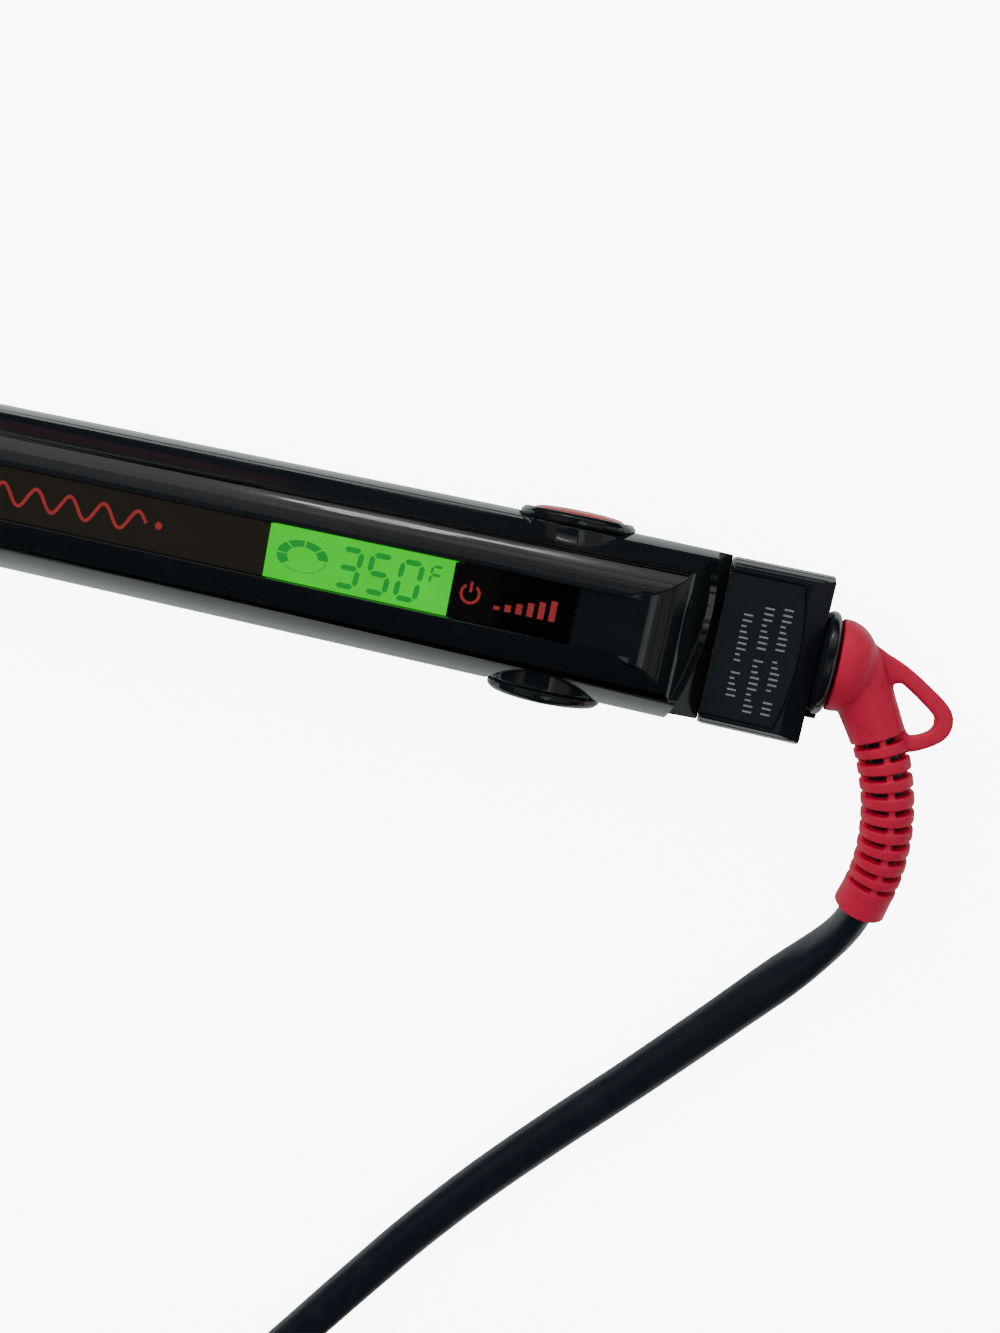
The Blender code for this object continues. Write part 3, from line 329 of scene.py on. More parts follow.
def turn_to(direction):
    """The turn that brings +Z to a direction."""
    return Vector((0.0, 0.0, 1.0)).rotation_difference(Vector(direction)).to_matrix().to_4x4()


def rod(radius, start, end, segments=96, end_radius=None):
    """A round rod, or a taper when its far end has another radius."""
    start, end = at(*start), at(*end)
    far_radius = radius if end_radius is None else end_radius
    bm = bmesh.new()
    bmesh.ops.create_cone(
        bm, cap_ends=True, segments=segments, radius1=radius * MM, radius2=far_radius * MM,
        depth=(end - start).length,
        matrix=Matrix.Translation((start + end) / 2) @ turn_to(end - start))
    return from_bmesh("tool", bm)


def axial(radius, start, end, segments=96, end_radius=None):
    """A rod along the handle's own axis."""
    return rod(radius, (start, 0, 0), (end, 0, 0), segments, end_radius)


def upright(radius, x, y, low, high, segments):
    """A rod that stands along Z."""
    return rod(radius, (x, y, low), (x, y, high), segments)


def prism(outline, low, high, across="Y"):
    """An outline in XZ carried along Y, or one in XY carried along Z."""
    bm = bmesh.new()
    if across == "Y":
        ring = [bm.verts.new(at(x, low, z)) for x, z in outline]
        travel = Vector((0.0, high - low, 0.0)) * MM
    else:
        ring = [bm.verts.new(at(x, y, low)) for x, y in outline]
        travel = Vector((0.0, 0.0, high - low)) * MM
    face = bm.faces.new(ring)
    swept = bmesh.ops.extrude_face_region(bm, geom=[face])
    moved = [item for item in swept["geom"] if isinstance(item, bmesh.types.BMVert)]
    bmesh.ops.translate(bm, vec=travel, verts=moved)
    return from_bmesh("tool", bm)


def rounded(profile, radius, steps=4):
    """The profile with each inner corner turned into a small arc."""
    marks = [Vector(point) for point in profile]
    made = [marks[0]]
    for before, corner, after in zip(marks, marks[1:], marks[2:]):
        back, ahead = before - corner, after - corner
        reach = min(radius, back.length * 0.45, ahead.length * 0.45)
        first = corner + back.normalized() * reach
        last = corner + ahead.normalized() * reach
        for step in range(steps + 1):
            t = step / steps
            made.append(first * (1 - t) ** 2 + corner * 2 * t * (1 - t) + last * t ** 2)
    made.append(marks[-1])
    return made


def lathe(profile, centre, direction, fillet=0.3, steps=128):
    """A body turned from (radius, along) points, open or closed on its axis."""
    bm = bmesh.new()
    points = rounded(profile, fillet) if fillet else [Vector(point) for point in profile]
    ring = [bm.verts.new((point[0] * MM, 0.0, point[1] * MM)) for point in points]
    edges = [bm.edges.new(pair) for pair in zip(ring, ring[1:])]
    bmesh.ops.spin(bm, geom=ring + edges, axis=(0, 0, 1), cent=(0, 0, 0),
                   angle=2 * math.pi, steps=steps, use_duplicate=False)
    bmesh.ops.remove_doubles(bm, verts=bm.verts, dist=0.000002)
    bmesh.ops.transform(bm, verts=bm.verts,
                        matrix=Matrix.Translation(at(*centre)) @ turn_to(direction))
    return from_bmesh("tool", bm)


def settle(obj):
    """Turn the object's modifiers into its mesh."""
    bpy.context.view_layer.update()
    graph = bpy.context.evaluated_depsgraph_get()
    mesh = bpy.data.meshes.new_from_object(obj.evaluated_get(graph))
    obj.modifiers.clear()
    obj.data = mesh
    return obj


def combine(obj, operation, tools):
    """Apply a boolean with each tool in turn, then throw the tools away."""
    for tool in tools:
        step = obj.modifiers.new("step", "BOOLEAN")
        step.operation = operation
        step.solver = "EXACT"
        step.object = tool
    settle(obj)
    for tool in tools:
        bpy.data.objects.remove(tool)
    return obj


def carve(obj, *tools):
    return combine(obj, "DIFFERENCE", tools)


def unite(obj, *tools):
    return combine(obj, "UNION", tools)


def soften(obj, width, where=None, segments=3, angle=28.0, weld=0.02):
    """Round sharp edges as moulded edges are; where() gives each edge's share of the width."""
    bm = bmesh.new()
    bm.from_mesh(obj.data)
    bmesh.ops.remove_doubles(bm, verts=bm.verts, dist=weld * MM)
    bmesh.ops.dissolve_degenerate(bm, edges=bm.edges, dist=weld * MM)
    weight = bm.edges.layers.float.get("bevel_weight_edge")
    if weight is None:
        weight = bm.edges.layers.float.new("bevel_weight_edge")
    for edge in bm.edges:
        if len(edge.link_faces) != 2 or edge.calc_face_angle(0.0) < math.radians(angle):
            continue
        middle = (edge.verts[0].co + edge.verts[1].co) / 2 / MM
        middle.z -= AXIS_HEIGHT
        edge[weight] = 1.0 if where is None else float(where(middle))
    bm.to_mesh(obj.data)
    bm.free()
    step = obj.modifiers.new("round", "BEVEL")
    step.width = width * MM
    step.segments = segments
    step.limit_method = "WEIGHT"
    step.use_clamp_overlap = False
    step.miter_outer = "MITER_ARC"
    return settle(obj)


def smooth(obj, angle=48.0):
    """Smooth shading with the sharp edges kept sharp."""
    obj.data.shade_smooth()
    obj.data.set_sharp_from_angle(angle=math.radians(angle))
    even = obj.modifiers.new("even", "WEIGHTED_NORMAL")
    even.keep_sharp = True
    return obj


def dress(obj, name, body, look, *nodes):
    """Name a finished piece, give it its material, and let it ride on its body."""
    obj.name = name
    obj.data.materials.clear()
    obj.data.materials.append(MATERIALS[look])
    smooth(obj)
    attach(obj, body)
    if nodes:
        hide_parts(*nodes)
    return obj


def skinned(bm, rings, closed=False):
    """A body whose skin runs from ring to ring, capped at both ends or closed on itself."""
    for first, second in zip(rings, rings[1:] + rings[:1] if closed else rings[1:]):
        for step in range(len(first)):
            after = (step + 1) % len(first)
            bm.faces.new((first[step], first[after], second[after], second[step]))
    if not closed:
        bm.faces.new(rings[0])
        bm.faces.new(rings[-1])
    return from_bmesh("tool", bm)


def full_turn(count):
    """Evenly spaced angles round a circle."""
    return [2 * math.pi * step / count for step in range(count)]


def squared_circle(angle, power):
    """A point of the unit circle, pushed out towards a square as the power falls."""
    return [math.copysign(abs(share) ** power, share) for share in (math.cos(angle), math.sin(angle))]


def curve_point(before, start, end, after, t):
    """A point between start and end on the Catmull-Rom curve through four points."""
    return 0.5 * (2 * start + (end - before) * t + (2 * before - 5 * start + 4 * end - after) * t ** 2
                  + (3 * start - before - 3 * end + after) * t ** 3)


def smooth_path(points, spacing):
    """Evenly spaced points along a Catmull-Rom curve through the given points."""
    marks = [Vector(point) for point in points]
    marks = [marks[0] * 2 - marks[1]] + marks + [marks[-1] * 2 - marks[-2]]
    fine = []
    for before, start, end, after in zip(marks, marks[1:], marks[2:], marks[3:]):
        fine += [curve_point(before, start, end, after, step / 24) for step in range(24)]
    fine.append(marks[-2])
    lengths = [0.0]
    for first, second in zip(fine, fine[1:]):
        lengths.append(lengths[-1] + (second - first).length)
    count = max(2, round(lengths[-1] / spacing))
    path = []
    index = 0
    for step in range(count + 1):
        wanted = lengths[-1] * step / count
        while index < len(fine) - 2 and lengths[index + 1] < wanted:
            index += 1
        share = (wanted - lengths[index]) / max(lengths[index + 1] - lengths[index], 1e-9)
        path.append(fine[index].lerp(fine[index + 1], min(share, 1.0)))
    return path


def sweep(path, radius_at, segments=64):
    """A closed tube along world points in millimetres; radius_at(distance, angle)."""
    bm = bmesh.new()
    rings = []
    distance = 0.0
    for index, point in enumerate(path):
        if index:
            distance += (point - path[index - 1]).length
        ahead = path[min(index + 1, len(path) - 1)] - path[max(index - 1, 0)]
        ahead.normalize()
        side = ahead.cross(Vector((0, 0, 1))).normalized()
        top = side.cross(ahead).normalized()
        ring = []
        for angle in full_turn(segments):
            reach = radius_at(distance, angle)
            place = point + side * reach * math.cos(angle) + top * reach * math.sin(angle)
            ring.append(bm.verts.new(place * MM))
        rings.append(ring)
    return skinned(bm, rings)


# ---------------------------------------------------------------- materials

# Each slot's materials; the nodes that the frame keeps get the first one.
SLOTS = {
    "gloss_black": ("piano_black", "block_black", "label_film", "pale_ink"),
    # One smoked lens in two looks: a brown painted reflection and a darker painted shade.
    "lens_smoke": ("smoked_strip_painted_light", "painted_shade_strip"),
    "display_green": ("lit_panel", "crystal_dark", "crystal_pale"),
    "cap_red": ("satin_red", "red_ink"),
    "boot_red": ("red_rubber",),
    "cord_black": ("cord_vinyl",),
    "barrel_coating": ("ceramic_coat",),
    "steel": ("steel",),
    "brass": ("brass",),
    "board_green": ("board_mask",),
    "heat_white": ("heat_moulding",),
    "aluminium": ("aluminium",),
}


class Look:
    """A Principled material with short calls for the textures that feed it."""

    def __init__(self, name, colour, roughness, metallic=0.0):
        self.name = name
        self.material = bpy.data.materials.new(name)
        self.material.use_nodes = True
        self.nodes = self.material.node_tree.nodes
        self.links = self.material.node_tree.links
        self.shader = self.nodes["Principled BSDF"]
        self.colour = colour
        self.put("Base Color", (*colour, 1.0))
        self.put("Roughness", roughness)
        self.put("Metallic", metallic)
        self.place = self.nodes.new("ShaderNodeTexCoord").outputs["Object"]
        self.bumps = None

    def put(self, socket, value):
        self.shader.inputs[socket].default_value = value

    def feed(self, socket, output):
        self.links.new(output, self.shader.inputs[socket])

    def node(self, kind, output, inputs, **settings):
        """A new node's output: plain inputs are set and other nodes' outputs are linked."""
        made = self.nodes.new("ShaderNode" + kind)
        for name, value in settings.items():
            setattr(made, name, value)
        for name, value in inputs.items():
            socket = made.inputs[name]
            if isinstance(value, bpy.types.NodeSocket):
                self.links.new(value, socket)
            else:
                socket.default_value = (*value, 1.0) if socket.type == "RGBA" else value
        return made.outputs[output]

    def noise(self, size, detail=3.0, stretch=None):
        """Noise whose features are about size millimetres across, stretched along the axes."""
        place = self.place
        if stretch:
            place = self.node("Mapping", "Vector", {"Vector": place, "Scale": stretch})
        return self.node("TexNoise", "Fac", {"Vector": place, "Scale": 1.0 / (size * MM),
                                             "Detail": detail})

    def specks(self, size, share):
        """Sparse round specks: 1 inside a speck, 0 outside."""
        distance = self.node("TexVoronoi", "Distance", {"Vector": self.place,
                                                        "Scale": 1.0 / (size * MM)})
        return self.ranged(distance, share, share * 0.5, 0.0, 1.0)

    def ranged(self, output, low, high, new_low, new_high):
        """An output moved from one range to another."""
        return self.node("MapRange", "Result", {"Value": output, "From Min": low, "From Max": high,
                                                "To Min": new_low, "To Max": new_high})

    def joined(self, operation, first, second):
        """Two outputs multiplied or added, kept between 0 and 1."""
        return self.node("Math", "Value", {0: first, 1: second}, operation=operation, use_clamp=True)

    def mixed(self, factor, first, second):
        """Two colours mixed by a factor; either may be an output or a plain colour."""
        return self.node("Mix", 2, {"Factor": factor, 6: first, 7: second}, data_type="RGBA")

    def patches(self, size, detail, low, high, share, patch):
        """Mix another colour into the surface in patches, up to a share."""
        blot = self.ranged(self.noise(size, detail), low, high, 0.0, share)
        self.feed("Base Color", self.mixed(blot, self.colour, patch))

    def dulled(self, size, detail, low, high, stretch=None):
        """Let the roughness wander between two values."""
        self.feed("Roughness", self.ranged(self.noise(size, detail, stretch), 0.3, 0.7, low, high))

    def grain(self, size, detail, depth, stretch=None):
        """Raise a fine grain of bumps up to depth millimetres high, on top of any before it."""
        inputs = {"Height": self.noise(size, detail, stretch), "Strength": 1.0, "Distance": depth * MM}
        if self.bumps is not None:
            inputs["Normal"] = self.bumps
        self.bumps = self.node("Bump", "Normal", inputs)
        self.feed("Normal", self.bumps)


def shaded(colour, share):
    return tuple(channel * share for channel in colour)


def piano_black(name, tint, shine):
    """Glossy black ABS: soft smears, hairline rubs along the grip and a few dust specks."""
    look = Look(name, tint, 0.12)
    smear = look.ranged(look.noise(14.0, 4.0, (0.45, 1.0, 1.0)), 0.42, 0.75, 0.07, 0.24)
    rubs = look.ranged(look.noise(0.5, 2.0, (0.05, 1.0, 1.0)), 0.62, 0.8, 0.0, 0.14)
    clouds = look.ranged(look.noise(9.0), 0.58, 0.7, 0.0, 0.6)
    dust = look.joined("MULTIPLY", look.specks(2.2, 0.05), clouds)
    look.feed("Roughness", look.joined("ADD", look.joined("ADD", smear, rubs), dust))
    worn = look.ranged(look.noise(5.0, 6.0), 0.6, 0.85, 0.0, 0.35)
    base = look.mixed(worn, tint, (0.016, 0.018, 0.02))
    look.feed("Base Color", look.mixed(dust, base, (0.1, 0.1, 0.095)))
    look.grain(2.2, 1.0, 0.006, (0.35, 1.0, 1.0))
    look.grain(0.35, 2.0, 0.0008)
    look.put("Specular IOR Level", shine)
    return look


def smoked_strip_painted_light(name, tint, shine):
    """The strip's smoked clear cover. Its brown tint is a painted reflection of a dim ceiling, and its
    darker copy is painted shade on the same lens.
    """
    look = Look(name, tint, 0.06)
    smear = look.ranged(look.noise(10.0, 4.0), 0.4, 0.75, 0.03, 0.16)
    look.feed("Roughness", look.joined("ADD", smear, look.specks(3.1, 0.05)))
    look.feed("Base Color", look.mixed(look.noise(18.0), tint, shaded(tint, 0.85)))
    look.grain(4.0, 1.0, 0.001)
    look.put("Specular IOR Level", shine)
    return look


def lit_panel():
    """The backlit crystal panel, a little brighter near its lamps."""
    look = Look("lit_panel", (0.0, 0.03, 0.002), 0.12)
    glow = look.ranged(look.noise(11.0, 1.0), 0.3, 0.7, 0.0, 1.0)
    grain = look.ranged(look.noise(0.3, 2.0), 0.3, 0.7, 0.92, 1.0)
    look.feed("Emission Color", look.mixed(glow, (0.0, 0.70, 0.0), (0.0, 0.84, 0.003)))
    look.feed("Emission Strength", grain)
    return look


def crystal_mark(name, colour):
    """A darkened crystal segment: it lets less of the backlight through."""
    look = Look(name, (0.0, 0.02, 0.002), 0.15)
    look.feed("Emission Color", look.mixed(look.noise(0.8), colour, shaded(colour, 0.86)))
    look.put("Emission Strength", 1.0)
    return look


def ink(name, colour):
    """Screen-printed ink: flat, slightly uneven at its edges."""
    look = Look(name, colour, 0.45)
    look.patches(0.6, 5.0, 0.35, 0.7, 0.5, shaded(colour, 0.55))
    look.dulled(1.5, 3.0, 0.35, 0.55)
    look.grain(0.25, 3.0, 0.004)
    return look


def satin_red():
    """Red moulded caps: satin, a little paler in patches where fingers rub."""
    look = Look("satin_red", (0.36, 0.008, 0.012), 0.34)
    look.patches(5.0, 5.0, 0.45, 0.7, 1.0, (0.44, 0.02, 0.024))
    look.dulled(2.0, 4.0, 0.26, 0.42)
    look.grain(0.4, 3.0, 0.003)
    return look


def red_rubber():
    """Soft red rubber: matt, faintly mottled, with mould grain and handling marks."""
    look = Look("red_rubber", (0.42, 0.003, 0.03), 0.52)
    mottled = look.mixed(look.noise(6.0, 5.0), look.colour, (0.49, 0.006, 0.04))
    smudge = look.ranged(look.noise(2.4, 6.0), 0.58, 0.78, 0.0, 0.5)
    look.feed("Base Color", look.mixed(smudge, mottled, (0.31, 0.003, 0.02)))
    look.dulled(3.0, 5.0, 0.4, 0.6)
    look.grain(0.22, 3.0, 0.006)
    look.grain(2.0, 3.0, 0.012)
    look.put("Subsurface Weight", 0.08)
    look.put("Subsurface Radius", (0.0025, 0.0006, 0.0005))
    look.put("Subsurface Scale", 1.0)
    look.put("Specular IOR Level", 0.3)
    return look


def cord_vinyl():
    """Black vinyl: finely grained, dusty in patches and softly shining."""
    look = Look("cord_vinyl", (0.0035, 0.0055, 0.011), 0.38)
    look.patches(7.0, 6.0, 0.5, 0.8, 0.5, (0.010, 0.013, 0.019))
    look.dulled(2.5, 5.0, 0.3, 0.45)
    look.grain(0.3, 4.0, 0.008)
    look.grain(6.0, 2.0, 0.05)
    look.put("Sheen Weight", 0.04)
    look.put("Sheen Roughness", 0.5)
    return look


def label_film():
    """The tail's label: dark satin film with a fine grain."""
    look = Look("label_film", (0.0045, 0.0065, 0.009), 0.36)
    look.feed("Base Color", look.mixed(look.noise(8.0, 4.0), look.colour, (0.008, 0.011, 0.013)))
    look.put("Specular IOR Level", 0.3)
    look.dulled(1.2, 4.0, 0.3, 0.48)
    look.grain(0.28, 2.0, 0.006)
    return look


def ceramic_coat():
    """Charcoal ceramic coating: satin, with fine sparkle and rubs round the barrel."""
    look = Look("ceramic_coat", (0.055, 0.055, 0.062), 0.3, 0.55)
    rubs = look.ranged(look.noise(0.8, 3.0, (1.0, 0.12, 0.12)), 0.5, 0.75, 0.0, 0.6)
    look.feed("Base Color", look.mixed(rubs, look.colour, (0.1, 0.1, 0.108)))
    look.dulled(3.0, 5.0, 0.24, 0.4)
    look.grain(0.16, 2.0, 0.003)
    return look


def plain_metal(name, colour, roughness, stretch=(1.0, 1.0, 1.0)):
    """Bare metal with tool lines and a little tarnish."""
    look = Look(name, colour, roughness, 1.0)
    look.patches(3.0, 5.0, 0.45, 0.75, 0.6, shaded(colour, 0.7))
    look.dulled(0.5, 4.0, roughness * 0.7, roughness * 1.4, stretch)
    look.grain(0.25, 3.0, 0.003, stretch)
    return look


def board_mask():
    """Green solder mask with faint tracks under it."""
    look = Look("board_mask", (0.01, 0.12, 0.045), 0.4)
    look.feed("Base Color", look.node("TexBrick", "Color", {
        "Vector": look.place, "Scale": 1.0 / (2.6 * MM), "Mortar Size": 0.06,
        "Color1": (0.008, 0.1, 0.04), "Color2": (0.012, 0.13, 0.05), "Mortar": (0.03, 0.24, 0.09)}))
    look.dulled(1.0, 3.0, 0.3, 0.5)
    look.grain(0.4, 3.0, 0.01)
    return look


def heat_moulding():
    """Off-white heat-proof moulding, slightly toasted."""
    look = Look("heat_moulding", (0.72, 0.69, 0.61), 0.6)
    look.patches(6.0, 5.0, 0.45, 0.75, 0.7, (0.55, 0.47, 0.35))
    look.dulled(1.0, 3.0, 0.5, 0.7)
    look.grain(0.3, 3.0, 0.01)
    return look


# ---------------------------------------------------------------- cord, coil and plug

def coil_path():
    """The coil's turns: inwards along the table, back outwards, then round the top."""
    stages = list(COIL_RADII) + list(reversed(COIL_RADII)) + [COIL_RADII[0]]
    levels = [COIL_HEIGHTS[0]] * 3 + [COIL_HEIGHTS[1]] * 3 + [COIL_HEIGHTS[2]]
    turns = 6 + (COIL_END - COIL_START) / 360 + 1
    per_turn = 48
    points = []
    for step in range(round(turns * per_turn) + 1):
        turned = step / per_turn
        stage = min(int(turned), len(stages) - 1)
        share = min(max((turned - stage - 0.8) / 0.2, 0.0), 1.0) if stage < len(stages) - 1 else 0.0
        share = share * share * (3 - 2 * share)
        ahead = min(stage + 1, len(stages) - 1)
        radius = stages[stage] * (1 - share) + stages[ahead] * share
        height = levels[stage] * (1 - share) + levels[ahead] * share
        radius -= 0.5 * (1 - math.cos(turned * 5.3)) / 2
        angle = math.radians(COIL_START) + 2 * math.pi * turned
        points.append(Vector((COIL_CENTRE[0] + radius * math.cos(angle),
                              COIL_CENTRE[1] + radius * math.sin(angle), height)))
    return points


def flat_profile():
    """The twin lead's section: an oval with a faint waist between its two cores."""
    curve = bpy.data.curves.new("cord_section", "CURVE")
    curve.dimensions = "2D"
    spline = curve.splines.new("POLY")
    angles = full_turn(32)
    spline.points.add(len(angles) - 1)
    for point, angle in zip(spline.points, angles):
        across = math.cos(angle) * CORD_WIDTH / 2
        high = math.sin(angle) * CORD_HEIGHT / 2
        high *= 1 - CORD_WAIST * math.exp(-(across / CORD_WAIST_WIDTH) ** 2)
        point.co = (across * MM, high * MM, 0.0, 1.0)
    spline.use_cyclic_u = True
    section = scene_object("cord_section", curve)
    section.hide_render = True
    section.hide_viewport = True
    return section


def lay_cord():
    """The flat cord: out of the boot, across the table, round the coil and into its plug."""
    turns = coil_path()
    laid = smooth_path(CORD_ROUTE + (tuple(turns[0]),), 2.0)[:-1]
    lead = smooth_path((tuple(turns[-1]),) + LEAD_ROUTE, 2.0)[1:]
    curve = bpy.data.curves.new("flat_cord", "CURVE")
    curve.dimensions = "3D"
    curve.twist_mode = "Z_UP"
    curve.bevel_mode = "OBJECT"
    curve.bevel_object = flat_profile()
    curve.use_fill_caps = True
    spline = curve.splines.new("POLY")
    points = laid + turns + lead
    spline.points.add(len(points) - 1)
    gone = 0.0
    for index, (point, place) in enumerate(zip(spline.points, points)):
        point.co = (*(place * MM), 1.0)
        gone += (place - points[index - 1]).length if index else 0.0
        left = max(1.0 - gone / CORD_TURN_LENGTH, 0.0)
        point.tilt = math.pi / 2 * left * left * (3 - 2 * left)
    cord = scene_object("flat_cord", curve)
    curve.materials.append(MATERIALS["cord_vinyl"])
    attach(cord, "cord_swivel")
    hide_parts("cord_tube", "cord_coil", "cord_lead")
    plug = make_plug()
    blades = [make_blade(index, side) for index, side in NUMBERED_SIDES]


def make_plug():
    """A moulded two-blade plug, lofted from a ribbed round relief to a rounded block."""
    stations = [(0.0, 4.7, 3.9, 2.0), (1.2, 5.4, 4.6, 2.0)]
    for rib in range(5):
        start = 2.2 + rib * 3.3
        wide, high = 5.6 + rib * 0.45, 4.8 + rib * 0.45
        stations += [(start, wide - 0.9, high - 0.9, 2.0), (start + 0.9, wide - 0.9, high - 0.9, 2.0),
                     (start + 1.2, wide, high, 2.1), (start + 2.9, wide + 0.15, high + 0.15, 2.2)]
    stations += [(19.6, 7.6, 6.9, 2.4), (21.5, 10.2, 8.2, 3.0), (24.5, 12.0, 9.2, 3.8),
                 (28.0, 12.4, 9.5, 4.6), (29.0, 11.7, 8.9, 4.6), (30.6, 11.7, 8.9, 4.6),
                 (31.4, 12.4, 9.5, 4.8), (32.6, 12.4, 9.5, 4.8), (33.4, 11.7, 8.9, 4.8),
                 (35.0, 11.7, 8.9, 4.8), (35.8, 12.45, 9.55, 5.0), (40.8, 12.45, 9.55, 5.0),
                 (41.7, 12.0, 9.1, 5.0), (PLUG_LENGTH, 11.2, 8.3, 5.0)]
    bm = bmesh.new()
    rings = []
    for along, wide, high, power in stations:
        spots = [squared_circle(angle, 2 / power) for angle in full_turn(72)]
        rings.append([bm.verts.new(Vector(
            (PLUG_FRONT + along, PLUG_Y + across * wide, PLUG_HEIGHT + rise * high)) * MM)
            for across, rise in spots])
    return dress(skinned(bm, rings), "moulded_plug", "cord_swivel", "cord_vinyl", "plug_body")


def make_blade(index, side):
    """A flat brass blade with a bevelled tip and a hole."""
    root = PLUG_FRONT + PLUG_LENGTH - BLADE_ROOT
    tip = PLUG_FRONT + PLUG_LENGTH + BLADE_REACH
    y = PLUG_Y + side * BLADE_OFFSET
    rise = PLUG_HEIGHT - AXIS_HEIGHT
    wide = BLADE_HALF_WIDTH
    outline = [(root, rise - wide), (tip - 1.4, rise - wide), (tip, rise - 1.9), (tip, rise + 1.9),
               (tip - 1.4, rise + wide), (root, rise + wide)]
    blade = prism(outline, y - BLADE_HALF_THICKNESS, y + BLADE_HALF_THICKNESS)
    carve(blade, rod(BLADE_HOLE_RADIUS, (tip - 3.5, y - 5, rise), (tip - 3.5, y + 5, rise), 32))
    soften(blade, 0.22)
    return dress(blade, f"brass_blade_{index}", "cord_swivel", "brass", f"plug_blade_{index}")


# ---------------------------------------------------------------- boot

def closed_loop(points, count):
    """Points evenly numbered round a smooth closed curve through the given ones."""
    marks = [Vector(point) for point in points]
    size = len(marks)
    made = []
    for step in range(count):
        t = step / count * size
        index, share = int(t) % size, t - int(t)
        near = [marks[(index + shift) % size] for shift in (-1, 0, 1, 2)]
        made.append(curve_point(*near, share))
    return made


def hanging_loop():
    """The loop as a plate with fully rounded edges, drawn between its two outlines."""
    outlines = [closed_loop(line, 360) for line in (LOOP_OUTER, LOOP_HOLE)]

    def reach(line, angle):
        return min(line, key=lambda p: abs(math.remainder(
            math.atan2(p[1] - LOOP_CENTRE[1], p[0] - LOOP_CENTRE[0]) - angle, 2 * math.pi)))

    bm = bmesh.new()
    rings = []
    for angle in full_turn(120):
        outer, inner = (reach(line, angle) for line in outlines)
        middle, half = (outer + inner) / 2, (outer - inner) / 2
        ring = []
        for wide, high in (squared_circle(turn, LOOP_POWER) for turn in full_turn(20)):
            ring.append(bm.verts.new(at(*(middle + half * wide), high * LOOP_HALF_THICKNESS)))
        rings.append(ring)
    return skinned(bm, rings, closed=True)


def make_boot():
    """The swivelling elbow with its slotted sleeve, all one soft moulding."""
    route = smooth_path(BOOT_ELBOW + BOOT_ROUTE, 0.12)
    neck = (Vector(BOOT_ROUTE[0]) - Vector(BOOT_ELBOW[1])).length + 2.6
    pitch = SLOT_WIDTH + RIB_WIDTH
    total = sum((b - a).length for a, b in zip(route, route[1:]))

    def sleeve_radius(distance, angle):
        if distance < neck:
            ahead = min(distance / neck, 1.0)
            return NECK_RADIUS * (1 - ahead) + NECK_END_RADIUS * ahead
        along = distance - neck
        slot = int(along / pitch)
        if slot > RIB_COUNT:
            flare = min((distance - neck - pitch * (RIB_COUNT + 1)) / max(total - neck, 1.0), 1.0)
            return BOOT_RADIUS + 0.25 * min(max(flare * 6, 0.0), 1.0)
        inside = along - slot * pitch
        web = abs(math.remainder(angle - math.radians(WEB_ANGLE), math.pi)) < math.radians(9.5)
        inner_side = abs(math.remainder(angle, 2 * math.pi)) < math.radians(22)
        outer_side = abs(math.remainder(angle - math.pi, 2 * math.pi)) < math.radians(17)
        if inside < SLOT_WIDTH:
            if web or inner_side:
                return BOOT_RADIUS - 0.4
            return BOOT_RADIUS - 0.8 if outer_side else BOOT_SLOT_RADIUS
        return BOOT_RADIUS + 0.06 * math.sin(math.pi * (inside - SLOT_WIDTH) / RIB_WIDTH)

    boot = sweep(route, sleeve_radius, 96)
    dome_profile = [(0.0, 8.1), (3.0, 7.7), (5.5, 6.7), (7.1, 5.3), (8.2, 3.8), (8.8, 2.2),
                    (8.9, 1.0), (8.9, 0.0), (0.0, 0.0)]
    dome = lathe(reversed(dome_profile), (BOOT_FRONT, 0.15, 0), (1, 0, 0), 1.2, 72)
    unite(boot, dome, hanging_loop())
    carve(boot, box((60, -30, -30), (BOOT_FRONT, 30, 30)))
    step = boot.modifiers.new("skin", "REMESH")
    step.mode = "VOXEL"
    step.voxel_size = BOOT_VOXEL * MM
    settle(boot)
    knob = boot.vertex_groups.new(name="knob")
    knob.add([vertex.index for vertex in boot.data.vertices
              if vertex.co.y > -9.0 * MM and vertex.co.x < 117.5 * MM
              and vertex.co.x > (BOOT_FRONT + 0.4) * MM], 1.0, "REPLACE")
    for rounds, group in ((3, ""), (28, "knob")):
        ease = boot.modifiers.new("ease", "SMOOTH")
        ease.factor = 0.5
        ease.iterations = rounds
        ease.vertex_group = group
    settle(boot)
    dress(boot, "ribbed_boot", "cord_swivel", "red_rubber", "cord_boot")
    boot.modifiers.clear()
    boot.data.set_sharp_from_angle(angle=math.pi)
    liner = sweep(route[round(len(route) * 0.3):-4], lambda distance, angle: BOOT_LINER_RADIUS, 40)
    dress(liner, "boot_liner", "cord_swivel", "cord_vinyl")


# ---------------------------------------------------------------- hinge

def both(make):
    """What make() gives for the +Y side and for the -Y side."""
    return [make(side) for side in (1, -1)]


def gathered(parts):
    """Several separate tools as one mesh, so one cut does the work of many."""
    bm = bmesh.new()
    for part in parts:
        bm.from_mesh(part.data)
        bpy.data.objects.remove(part)
    return from_bmesh("tool", bm)


def notch_ring(side, inner, outer):
    """Shallow scallops spaced evenly round a bezel."""
    reach = BOSS_RADIUS + SCALLOP_RADIUS - SCALLOP_DEPTH
    spots = []
    for step in range(BEZEL_NOTCHES):
        angle = 2 * math.pi * (step + 0.5) / BEZEL_NOTCHES
        x, z = HINGE_X + reach * math.cos(angle), reach * math.sin(angle)
        spots.append(rod(SCALLOP_RADIUS, (x, side * inner, z), (x, side * outer, z), 48))
    return gathered(spots)


def bosses():
    """The raised seats between the grip and the bezels."""
    return across_hinge(BOSS_RADIUS, EAR_INNER - GAP, BOSS_FACE, 160)


